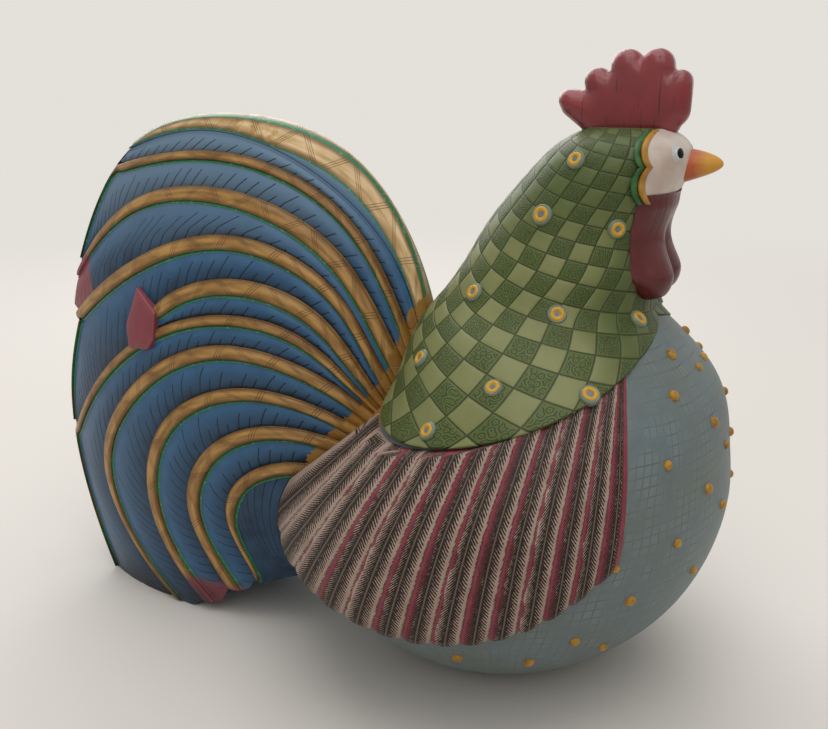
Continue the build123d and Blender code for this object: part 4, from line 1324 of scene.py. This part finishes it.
@dataclass(frozen=True)
class Wing:
    """Folded wing of slender feathers that fan out from under the cape."""

    feathers: int = 14
    grow: float = 5.2
    back: float = 5.5
    drop: float = 3.0
    shoulder: tuple[tuple[float, float], tuple[float, float]] = ((38.5, 101.0), (-23.5, 82.0))
    tips: tuple[tuple[float, float], ...] = ((43.0, 62.0), (4.0, 40.6), (-54.5, 51.0))
    across: int = 22
    along: int = 150
    groove: float = 0.5
    bow: float = 3.8
    fan: float = 1.5
    tip: float = 5.2
    tuck: float = 10.0
    nose: float = 1.6
    shaft: float = 0.18
    tip_fall: float = 0.8
    tip_run: float = 3.0
    seat: float = 0.15
    least: float = 0.35
    front_lap: tuple[float, float] = (-0.4, 1.3)
    wall_rows: int = 36
    rear_waves: int = 3
    sharp: float = 55.0
    stripes: tuple[float, ...] = (0.25, 0.6, 0.3, 0.72, 0.42, 0.2, 0.66, 0.35, 0.5, 0.8, 0.55, 0.9, 1.3, 1.3)

    def line(self, share: np.ndarray) -> tuple[np.ndarray, np.ndarray]:
        """Root and tip of a line down the wing.

        Args:
            share: From the front edge at nought to the rear edge at one.

        Returns:
            Points of the side view, on the shoulder and on the bend of the tips.
        """
        share = np.asarray(share)[..., None]
        front, rear = (np.array(p) for p in self.shoulder)
        a, b, c = (np.array(p) for p in self.tips)
        bend = 2 * b - (a + c) / 2
        root = front + (rear - front) * np.sign(share) * np.abs(share) ** self.fan
        tip = a * (1 - share) ** 2 + 2 * bend * share * (1 - share) + c * share**2
        return root, tip

    def bowed(self, root: np.ndarray, way: np.ndarray, bow: float, at: np.ndarray) -> np.ndarray:
        """Line down the wing at shares of its whole way, bowed towards the beak."""
        line = root + way * at[:, None]
        line[:, 0] += bow * np.sin(pi * at) ** 0.8
        return line

    def build(self) -> None:
        """Make both wings."""
        for side in Side:
            name = "wing_" + side.name.lower()
            casting = Casting(name + "_feathers", "side", "run", "stripe")
            for number in range(self.feathers):
                self.add_feather(casting, number)
            dress(casting.build(side, self.sharp), WING_PAINT, "wing", name)

    def add_feather(self, casting: Casting, number: int) -> None:
        """One feather between its two border lines, rounded at the tip.

        Args:
            casting: Wing that takes the feather.
            number: Its place from the front.
        """
        u = np.linspace(-1, 1, self.across)
        pitch = 1 / (self.feathers - 1)
        root, tip = self.line((number + u / 2) * pitch)
        root = root - self.tuck * (tip - root) / np.linalg.norm(tip - root, axis=1, keepdims=True)
        run_out = np.linalg.norm(tip - root, axis=1)
        whole_run = run_out + self.tip + self.nose * np.sqrt(np.maximum(1 - u**2, 0))
        share = np.linspace(0, 1, self.along)
        fine = np.linspace(0, 1, 300)
        columns, runs = [], []
        bow = self.bow * (1 - np.clip((number + u / 2) * pitch, 0, 1)) ** 3
        for k in range(self.across):
            way = (tip[k] - root[k]) / run_out[k] * whole_run[k]
            whole = self.bowed(root[k], way, bow[k], fine)
            y = BELL.side_y(whole[:, 0] + self.back, whole[:, 1] + self.drop, self.grow)
            above = whole[:, 1] > BELL.hem_at(whole[:, 0], y) - 0.2
            start = fine[np.max(np.nonzero(above)[0])] if above.any() else 0.0
            at = start + (1 - start) * share
            columns.append(self.bowed(root[k], way, bow[k], at))
            runs.append(at * whole_run[k])
        flat = np.stack(columns)
        run = np.stack(runs)
        side = np.repeat(u[:, None], self.along, 1)
        crown = -self.groove * np.abs(side) ** 4 + self.shaft * ripple(side * 2, 0.05)
        tail_off = -self.tip_fall * ease(-self.tip_run, 0.0, run - run[:, -1:]) ** 3
        x, z = flat[..., 0], flat[..., 1]
        y = BELL.side_y(x + self.back, z + self.drop, self.grow + crown + tail_off)
        under = BELL.side_y(x, z, self.seat)
        y = np.minimum(y, under - self.least)
        front = np.stack([x, y, z], -1)
        rear = np.stack([x, under, z], -1)[[0, -1]]
        if number == 0:
            lap, stretch = self.front_lap
            side = np.where(side < lap, -stretch * side, side)
        if number == self.feathers - 1:
            inward = np.linspace(0, 1, self.wall_rows + 1)[1:, None] * np.ones((1, self.along))
            wave = np.abs(2 * (self.rear_waves * inward % 1.0) - 1)
            wall = front[-1] + (rear[-1] - front[-1]) * inward[..., None]
            wall[:-1, :, 0] -= self.groove * (1 - wave[:-1] ** 4)
            front = np.concatenate([front, wall])
            side = np.concatenate([side, wave])
            run = np.concatenate([run, np.repeat(run[-1:], self.wall_rows, 0)])
        casting.slab(front, rear, side=side, run=run, stripe=np.full_like(run, self.stripes[number]))


@dataclass(frozen=True)
class Tail:
    """Fan of curved feathers, seen from the side as areas between smooth edges on a lens."""

    centre: tuple[float, float] = (-87.0, 52.0)
    half: float = 28.0
    round_across: float = 120.0
    round_up: float = 260.0
    depth: float = 6.0
    rise: float = 0.9
    bands: tuple[float, ...] = (0.0, 2.6, 4.4, 4.6, 4.6, 3.0, 4.6, 4.6, 4.8, 4.0)
    ridge: tuple[tuple[float, float], ...] = (
        (-20.0, 84.0),
        (-27.0, 119.0),
        (-46.0, 147.0),
        (-92.0, 160.5),
        (-127.0, 150.5),
    )
    rear: tuple[tuple[float, float], ...] = (
        (-127.0, 150.5),
        (-143.0, 132.0),
        (-154.0, 106.0),
        (-157.0, 95.0),
    )
    heel: tuple[tuple[float, float], ...] = ((-149.5, 92.5), (-158.0, 66.0), (-150.0, 23.0), (-142.0, 0.0))
    under: tuple[tuple[float, float], ...] = ((-95.0, 0.0), (-80.0, 10.5), (-57.0, 20.0), (-20.0, 24.0))
    edges: tuple[tuple[tuple[float, float], ...], ...] = (
        ((-20.0, 78.0), (-32.0, 119.0), (-63.0, 148.0), (-96.0, 156.4), (-127.0, 150.0), (-145.0, 143.0)),
        ((-20.0, 74.0), (-31.0, 107.0), (-50.0, 135.0), (-83.0, 149.5), (-111.0, 149.0), (-145.0, 141.0)),
        ((-20.0, 70.0), (-33.0, 99.0), (-49.0, 123.0), (-80.0, 138.5), (-120.0, 135.0), (-164.0, 96.0)),
        ((-20.0, 66.0), (-33.0, 87.0), (-47.0, 110.0), (-80.0, 126.0), (-119.0, 116.0), (-162.0, 87.0)),
        ((-20.0, 62.0), (-36.0, 83.0), (-52.0, 104.0), (-80.0, 113.5), (-108.0, 103.0), (-120.0, 86.0)),
        ((-20.0, 60.0), (-38.0, 80.0), (-58.0, 98.0), (-84.0, 102.5), (-122.0, 87.0), (-164.0, 42.0)),
        (
            (-20.0, 58.0),
            (-46.0, 83.0),
            (-83.0, 93.5),
            (-121.0, 73.0),
            (-136.0, 43.0),
            (-128.0, 23.0),
            (-100.0, -6.0),
        ),
        (
            (-20.0, 54.0),
            (-46.0, 74.0),
            (-75.0, 81.0),
            (-103.0, 68.0),
            (-113.0, 44.0),
            (-108.0, 22.0),
            (-86.0, -6.0),
        ),
        (
            (-20.0, 50.0),
            (-45.0, 66.0),
            (-63.0, 70.0),
            (-85.0, 62.5),
            (-96.0, 41.0),
            (-91.0, 24.0),
            (-74.0, -6.0),
        ),
        (
            (-20.0, 46.0),
            (-48.0, 57.5),
            (-62.0, 58.5),
            (-77.0, 51.0),
            (-81.5, 40.0),
            (-78.0, 28.0),
            (-62.0, -6.0),
        ),
    )
    short: int = 4
    notch: tuple[int, int] = (9, 15)
    ends: tuple[float, ...] = (4.0, 4.0, 99.0, 4.0, 0.0, 36.0, 99.0, 99.0, 99.0, 99.0)
    tongue: tuple[tuple[float, float], ...] = (
        (-114.8, 108.2),
        (-106.0, 101.4),
        (-106.4, 93.0),
        (-108.6, 89.6),
        (-117.4, 89.0),
        (-119.0, 96.0),
        (-114.8, 108.2),
    )
    tongue_steps: tuple[tuple[float, float], ...] = (
        (1.0, -1.0),
        (1.0, 1.3),
        (0.97, 1.8),
        (0.9, 2.0),
        (0.7, 2.1),
        (0.5, 2.15),
        (0.25, 2.2),
    )
    column_mm: float = 0.55
    rows: int = 60
    root: tuple[tuple[float, float], ...] = ((0.0, 24.0), (0.0, 84.0))
    root_run: tuple[float, float] = (1.0, 9.0)
    root_z: tuple[float, float] = (46.0, 62.0)
    root_points: int = 20
    joined_points: int = 80
    line_steps: tuple[float, ...] = (0.0, 0.12, 0.3, 0.55, 0.8, 1.05, 1.35)
    line_room: float = 1.7
    bead_to: float = 1.5
    bead_low: float = -0.3
    bead_rise: float = 0.35
    bead_at: float = 0.6
    rim: float = 0.3
    vane_from: float = 1.6
    vane_step: float = 0.15
    vane_fall: float = 0.75
    vane_bulge: float = 0.35
    barb_cut: float = 0.12
    last_slope: float = 0.85
    red_rear: int = 2
    red_end: tuple[float, float, float] = (-145.3, 111.0, 0.34)
    red_low: tuple[int, int] = (7, 8)
    red_floor: tuple[float, float] = (10.0, 14.0)
    wrap: float = 5.0
    ridge_rows: int = 16
    ridge_lift: tuple[float, ...] = (0.45, 0.75, 0.75, 0.45)
    ridge_shift: tuple[float, ...] = (-0.6, -0.2, 0.2, 0.6)
    ridge_edge: tuple[float, ...] = (-0.3, 0.7, 0.7, -0.3)
    ridge_seat: float = 0.35
    ridge_rim: float = 0.35
    ridge_lap: float = 0.4
    ridge_line: float = 1.2
    ridge_band: float = 5.6

    def face_y(self, x: np.ndarray, z: np.ndarray, grow: np.ndarray | float) -> np.ndarray:
        """Right-hand face of the tail over a place in the side view, as its y."""
        fall = self.round_up - np.sqrt(self.round_up**2 - (z - self.centre[1]) ** 2)
        reach = self.round_across + grow - fall
        y = self.round_across - self.half - np.sqrt(np.maximum(reach**2 - (x - self.centre[0]) ** 2, 0.0))
        return np.minimum(y, -0.1)

    def crest(self) -> tuple[np.ndarray, np.ndarray]:
        """Ridge and rear edge as one smooth line, parted where the ridge ends."""
        line = smooth_line(self.ridge + self.rear[1:])
        part = int(np.argmin(np.linalg.norm(line - np.array(self.rear[0]), axis=1)))
        return line[: part + 1], line[part:]

    def outline(self) -> np.ndarray:
        """Rear, floor and underside of the tail as one fine line, from the ridge's end to the root."""
        parts = [self.crest()[1], np.array([self.rear[-1], self.heel[0]]), smooth_line(self.heel)]
        parts += [np.array([self.heel[-1], self.under[0]]), smooth_line(self.under)]
        return resample(np.concatenate(parts), 1200)

    def inside(self, points: np.ndarray) -> np.ndarray:
        """Whether places of the side view lie within the tail's outline."""
        ring = np.concatenate([self.crest()[0], self.outline(), self.root])
        following = np.roll(ring, -1, axis=0)
        x, z = points[:, :1], points[:, 1:]
        spans = (ring[:, 1] > z) != (following[:, 1] > z)
        rise = following[:, 1] - ring[:, 1]
        lean = (following[:, 0] - ring[:, 0]) / np.where(rise == 0, 1e-9, rise)
        return (spans & (x < lean * (z - ring[:, 1]) + ring[:, 0])).sum(1) % 2 == 1

    def trimmed(self, index: int) -> np.ndarray:
        """One feather's upper edge, up to where it leaves the outline."""
        if index == len(self.edges):
            return smooth_line(self.under)[::-1]
        line = smooth_line(self.edges[index])
        out = np.nonzero(~self.inside(line))[0]
        out = out[out > self.root_points]
        return line[: out[0] + 1] if len(out) else line

    def borders(self, index: int) -> tuple[np.ndarray, np.ndarray, np.ndarray]:
        """Upper border, lower border and end of one feather's area in the side view."""
        rim = self.outline()
        upper = self.trimmed(index)
        lower = self.trimmed(index + 1)
        if index in (self.short - 1, self.short):
            brief, long = self.trimmed(self.short), self.trimmed(self.short + 1)
            gaps = np.linalg.norm(brief[:, None] - long[None], axis=2)
            gaps[: self.joined_points] = np.inf
            at = np.unravel_index(np.argmin(gaps), gaps.shape)
            if index == self.short:
                return brief[: at[0] + 1], long[: at[1] + 1], np.array([brief[at[0]], long[at[1]]])
            lower = np.concatenate([brief[: at[0] + 1], long[at[1] + 1 :]])
        cut, gap = self.notch
        if index > self.short + 1:
            upper = upper[:-cut]
        if index == len(self.edges) - 1:
            hit = int(np.argmin(np.linalg.norm(lower - upper[-1], axis=1)))
            return upper, lower[: hit + 1], np.array([upper[-1], lower[hit]])
        start = int(np.argmin(np.linalg.norm(rim - upper[-1], axis=1)))
        stop = int(np.argmin(np.linalg.norm(rim - lower[-1], axis=1)))
        left = lengths(rim[start : stop + 1])[-1]
        keep = int(np.searchsorted(lengths(rim[start : stop + 1]), max(left - self.ends[index], 0.0)))
        if index > self.short + 1:
            end = smooth_line([upper[-1], rim[(start + stop) // 2], lower[-1 - cut]])
            return upper, lower[:-cut], end
        upper = np.concatenate([upper[:-1], rim[start : start + keep + 1]])
        if index > self.short:
            lower = lower[:-cut]
            stop -= gap
        end = np.concatenate([upper[-1:], rim[start + keep + 1 : stop], lower[-1:]])
        return upper, lower, end

    def patch(self, index: int) -> tuple[np.ndarray, np.ndarray, np.ndarray, np.ndarray]:
        """Grid of one feather in the side view, with its measures.

        Args:
            index: Feather, counted from the top.

        Returns:
            Places, distance from the upper edge, running length and band width, rows across.
        """
        upper, lower, end = self.borders(index)
        proper = lengths(self.trimmed(index))[-1]
        columns = max(40, int(max(lengths(upper)[-1], lengths(lower)[-1]) / self.column_mm))
        up, low = resample(upper, columns), resample(lower, columns)
        v = np.linspace(0, 1, self.rows)[:, None, None]
        u = np.linspace(0, 1, columns)[None, :, None]
        start = up[0] + (low[0] - up[0]) * v
        stop = resample(end, self.rows)[:, None, :]
        corners = (1 - u) * ((1 - v) * up[0] + v * low[0]) + u * ((1 - v) * up[-1] + v * low[-1])
        coons = (1 - v) * up[None] + v * low[None] + (1 - u) * start + u * stop - corners
        run = lengths(up)
        band = self.bands[index] * (1 - 0.85 * ease(proper - 4.0, proper + 6.0, run))
        grid, across = [], []
        for k in range(columns):
            way = lengths(coons[:, k])
            near = band[k] + self.line_room
            squeeze = min(1.0, way[-1] / (1.25 * near))
            steps = [band[k] * np.linspace(0, 1, 9)[:-1], band[k] + np.array(self.line_steps)]
            fixed = np.concatenate(steps) * squeeze
            rest = np.linspace(near * squeeze, way[-1], 20)
            at = np.concatenate([fixed, rest])
            grid.append(np.stack([np.interp(at, way, coons[:, k, 0]), np.interp(at, way, coons[:, k, 1])], 1))
            across.append(at)
            band[k] *= squeeze
        return np.stack(grid, 1), np.stack(across, 1), run, band

    def root_share(self, points: np.ndarray) -> np.ndarray:
        """One where a feather leaves the cape above the wing, falling to nought over a few millimetres."""
        _, middle, long, wide = BELL.read(points[..., 2])
        long, wide = long + BELL.cape, wide + BELL.cape
        reach = np.sqrt(((points[..., 0] - middle) / long) ** 2 + (points[..., 1] / wide) ** 2)
        return (1 - ease(*self.root_run, (reach - 1) * long)) * ease(*self.root_z, points[..., 2])

    def build(self) -> None:
        """Make the ridge and every feather, right and left."""
        self.build_ridge()
        for index in range(len(self.edges)):
            for side in Side:
                self.build_feather(index, side)

    def build_feather(self, index: int, side: Side) -> None:
        """One feather as a closed plate with a raised band, a line and a vane.

        Args:
            index: Feather, counted from the top.
            side: Half of the tail.
        """
        flat, across, run, band = self.patch(index)
        x, z = flat[..., 0], flat[..., 1]
        past = across - band[None]
        width = np.maximum(past[-1:] - self.vane_from, 0.5)
        bulge = np.sqrt(np.clip(1 - (2 * across / np.maximum(band[None], 0.2) - 1) ** 2, 0, 1))
        along = np.broadcast_to(run, across.shape)
        slope = np.clip((past - self.vane_from) / width, 0, 1)
        barbs = ripple((along - TAIL_PAINT.lean * across) / TAIL_PAINT.barb_mm, 0.08) * ease(0.3, 0.5, slope)
        vane = -self.vane_step - self.vane_fall * slope**1.4 + self.vane_bulge * np.sin(pi * slope)
        vane = vane - self.barb_cut * barbs
        rim = self.rim + (self.rise - self.rim) * bulge
        bead = self.bead_low + self.bead_rise * np.exp(-(((past - self.bead_at) / 0.35) ** 2))
        crown = rim if index else np.full_like(bead, -0.1)
        relief = np.where(past <= 1e-6, crown, np.where(past < self.bead_to, bead, vane))
        y = self.face_y(x, z, relief)
        front = np.stack([x, y, z], -1)
        rear = np.stack([x, np.minimum(-0.1, y + self.depth), z], -1)[[0, -1]]
        red = np.zeros_like(x)
        if index == self.red_rear:
            end_x, end_z, lean = self.red_end
            red = 1 - ease(-0.4, 0.4, x - end_x - lean * (end_z - z))
        elif index in self.red_low:
            red = 1 - ease(*self.red_floor, z)
        elif index == len(self.edges) - 1:
            # The innermost feather takes the vane's painted shade across its whole width
            slope = np.maximum(slope, self.last_slope)
        name = "tail_%s_%02d" % (side.name.lower(), index + 1)
        casting = Casting(name + "_feather", "across", "along", "band", "red", "root", "slope")
        casting.slab(
            front,
            rear,
            wrap=self.wrap,
            across=across,
            along=along,
            band=np.broadcast_to(band, across.shape) if index else np.full_like(across, -4.0),
            red=red,
            root=self.root_share(front),
            slope=slope,
        )
        if index == self.short - 1:
            self.add_tongue(casting)
        dress(casting.build(side, SOFT_EDGE), TAIL_PAINT, "tail", name)

    def add_tongue(self, casting: Casting) -> None:
        """Blunt red tongue that lies over the neighbouring feathers."""
        ring = resample(np.array(self.tongue), 120)[:-1]
        centre = ring.mean(0)
        paint = {"red": 1.0, "across": 9.0, "along": 1.5}
        rows = []
        for share, height in self.tongue_steps:
            x, z = (centre + (ring - centre) * share).T
            rows.append(np.stack([x, self.face_y(x, z, height), z], 1))
        ids = casting.add(np.stack(rows), **paint)
        casting.quads(ids, wrap=True)
        for end in (-1, 0):
            y = float(self.face_y(*centre, self.tongue_steps[end][1]))
            casting.fan(ids[end], (centre[0], y, centre[1]), **paint)

    def build_ridge(self) -> None:
        """Ochre ridge over the top of the tail, edged with green on both sides."""
        inner = self.trimmed(0)
        outer = self.crest()[0]
        columns = int(lengths(outer)[-1] / self.column_mm)
        low, high = resample(inner, columns), resample(outer, columns)
        share = np.linspace(0, 1, self.ridge_rows)[:, None, None]
        flat = low[None] + (high - low)[None] * share
        wide = np.linalg.norm(high - low, axis=1)[None] * np.ones((self.ridge_rows, 1))
        bulge = np.sqrt(np.clip(1 - (2 * share[..., 0] - 1) ** 2, 0, 1))
        bulge = self.ridge_rim + (self.rise - self.ridge_rim) * bulge
        y = self.face_y(flat[..., 0], flat[..., 1], bulge)
        right = np.stack([flat[..., 0], y, flat[..., 1]], -1)
        left = right[::-1] * (1, -1, 1)
        lift, shift, edge = (
            np.array(given)[:, None] for given in (self.ridge_lift, self.ridge_shift, self.ridge_edge)
        )
        ahead = np.repeat(high[None, :, 0], len(lift), 0)
        top = np.stack([ahead, shift * np.abs(y[-1:]), high[None, :, 1] + lift], -1)
        base = np.stack([right[0], left[-1]]) * (1, self.ridge_seat, 1)
        around = np.concatenate([right, top, left, base[::-1]])
        across = wide * (1 - share[..., 0]) - self.ridge_lap
        edge = edge * np.ones((1, columns))
        casting = Casting("tail_ridge_welt", "across", "along", "band", "red", "root", "slope")
        ids = casting.add(
            around,
            across=np.concatenate([across, edge, across[::-1], across[:1], across[:1]]),
            along=lengths(high)[None] * np.ones((len(around), 1)),
            band=np.repeat(np.minimum(wide[:1] - self.ridge_line, self.ridge_band), len(around), 0),
            root=self.root_share(around),
        )
        casting.quads(ids.T, wrap=True)
        for end in (0, -1):
            casting.faces.append(ids[:, end].tolist())
        dress(casting.build(sharp=SOFT_EDGE), RIDGE_PAINT, "tail_band", "tail_ridge")


@dataclass(frozen=True)
class Hidden:
    """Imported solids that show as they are: pad, stopper and the core of the tail."""

    def build(self) -> None:
        """Give each carried-over solid its finish."""
        for node, finish in (("felt_pad", FELT), ("base_plug", RUBBER), ("tail_core", CORE_PAINT)):
            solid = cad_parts[node]
            solid.data.materials.clear()
            solid.data.materials.append(finish.material())


@dataclass(frozen=True)
class Studio:
    """Pale floor, soft lights and the camera at the photograph's angle."""

    eye: tuple[float, float, float] = (82.2, -274.2, 174.0)
    turn: float = 22.0
    dip: float = 16.41
    focal_px: float = 1000.0
    image_px: float = 828.0
    paper: str = "#E4E0DA"
    room: float = 0.4
    sensor: float = 36.0
    floor_m: float = 6.0
    fade_m: tuple[float, float] = (0.3, 0.9)
    aim: tuple[float, float, float] = (-30.0, 0.0, 70.0)
    panes: tuple[tuple[str, tuple[float, float, float], float, float], ...] = (
        ("window", (-560.0, 700.0, 720.0), 1.0, 7.0),
        ("front", (240.0, -720.0, 940.0), 1.1, 4.6),
        ("top", (20.0, -60.0, 1080.0), 0.9, 3.6),
    )

    def build(self) -> None:
        """Set the stage."""
        scene = bpy.context.scene
        scene.view_settings.view_transform = "Standard"
        self.build_camera(scene)
        self.build_floor()
        self.build_lights(scene)

    def build_camera(self, scene: bpy.types.Scene) -> None:
        """Camera at the photograph's place and angle."""
        data = bpy.data.cameras.new("camera")
        data.sensor_width = self.sensor
        data.lens = self.focal_px / self.image_px * data.sensor_width
        data.clip_start = 0.01
        camera = placed("camera", data)
        turn, dip = radians(self.turn), radians(self.dip)
        way = Vector((-sin(turn) * cos(dip), cos(turn) * cos(dip), -sin(dip)))
        look = way.to_track_quat("-Z", "Y").to_matrix().to_4x4()
        camera.matrix_world = Matrix.Translation(Vector(self.eye) * MM) @ look
        scene.camera = camera

    def build_floor(self) -> None:
        """Large pale table top that keeps the shadow and fades into the backdrop further out."""
        w = self.floor_m
        mesh = bpy.data.meshes.new("floor")
        mesh.from_pydata([(x, y, 0) for x, y in ((-w, -w), (w, -w), (w, w), (-w, w))], [], [[0, 1, 2, 3]])
        floor = placed("floor", mesh)
        paper = bpy.data.materials.new("matt_pale_paper")
        paper.use_nodes = True
        tree = paper.node_tree
        tree.nodes.clear()
        matt = put(tree, "BsdfDiffuse", {"Color": self.paper})
        shown = put(tree, "Emission", {"Color": self.paper, "Strength": 1.0})
        where = put(tree, "TexCoord", out="Object")
        away = put(tree, "VectorMath", [where], operation="LENGTH")
        far = put(tree, "MapRange", [away, *self.fade_m], interpolation_type="SMOOTHSTEP")
        camera = put(tree, "LightPath", out="Is Camera Ray")
        share = put(tree, "Math", [far, camera], operation="MULTIPLY")
        put(tree, "OutputMaterial", {"Surface": put(tree, "MixShader", [share, matt, shown])})
        mesh.materials.append(paper)

    def build_lights(self, scene: bpy.types.Scene) -> None:
        """Soft light from large panes in front, behind and above, in a pale room."""
        world = bpy.data.worlds.new("studio")
        scene.world = world
        world.use_nodes = True
        tree = world.node_tree
        tree.nodes.clear()
        rays = put(tree, "LightPath").node.outputs
        seen = rays["Is Camera Ray"]
        for kind in ("Is Glossy Ray", "Is Transmission Ray"):
            seen = put(tree, "Math", [seen, rays[kind]], operation="MAXIMUM")
        level = put(tree, "MapRange", {0: seen, 3: self.room, 4: 1.0})
        back = put(tree, "Background", {"Color": self.paper, "Strength": level})
        put(tree, "OutputWorld", {"Surface": back})
        for name, place, size, power in self.panes:
            data = bpy.data.lights.new(name, "AREA")
            data.size = size
            data.energy = power
            lamp = placed(name, data)
            lamp.location = Vector(place) * MM
            lamp.rotation_mode = "QUATERNION"
            lamp.rotation_quaternion = (Vector(self.aim) * MM - lamp.location).to_track_quat("-Z", "Y")


def dress(piece: bpy.types.Object, finish: Finish, slot: str, *nodes: str) -> None:
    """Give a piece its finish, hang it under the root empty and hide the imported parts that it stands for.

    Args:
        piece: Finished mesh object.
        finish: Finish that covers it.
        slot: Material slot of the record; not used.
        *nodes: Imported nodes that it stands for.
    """
    piece.data.materials.clear()
    piece.data.materials.append(finish.material())
    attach(piece, ROOT)
    if nodes:
        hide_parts(*nodes)
    LOG.info("%s: %d faces", piece.name, len(piece.data.polygons))


def main() -> None:
    """Build the bird piece by piece, then the studio."""
    logging.basicConfig(level=logging.INFO, format="%(name)s %(message)s")
    for part in (Belly(), Cape(), Head(), Wing(), Tail(), Hidden(), Studio()):
        part.build()
        LOG.info("%s done", type(part).__name__)


if __name__ == "__main__":
    main()
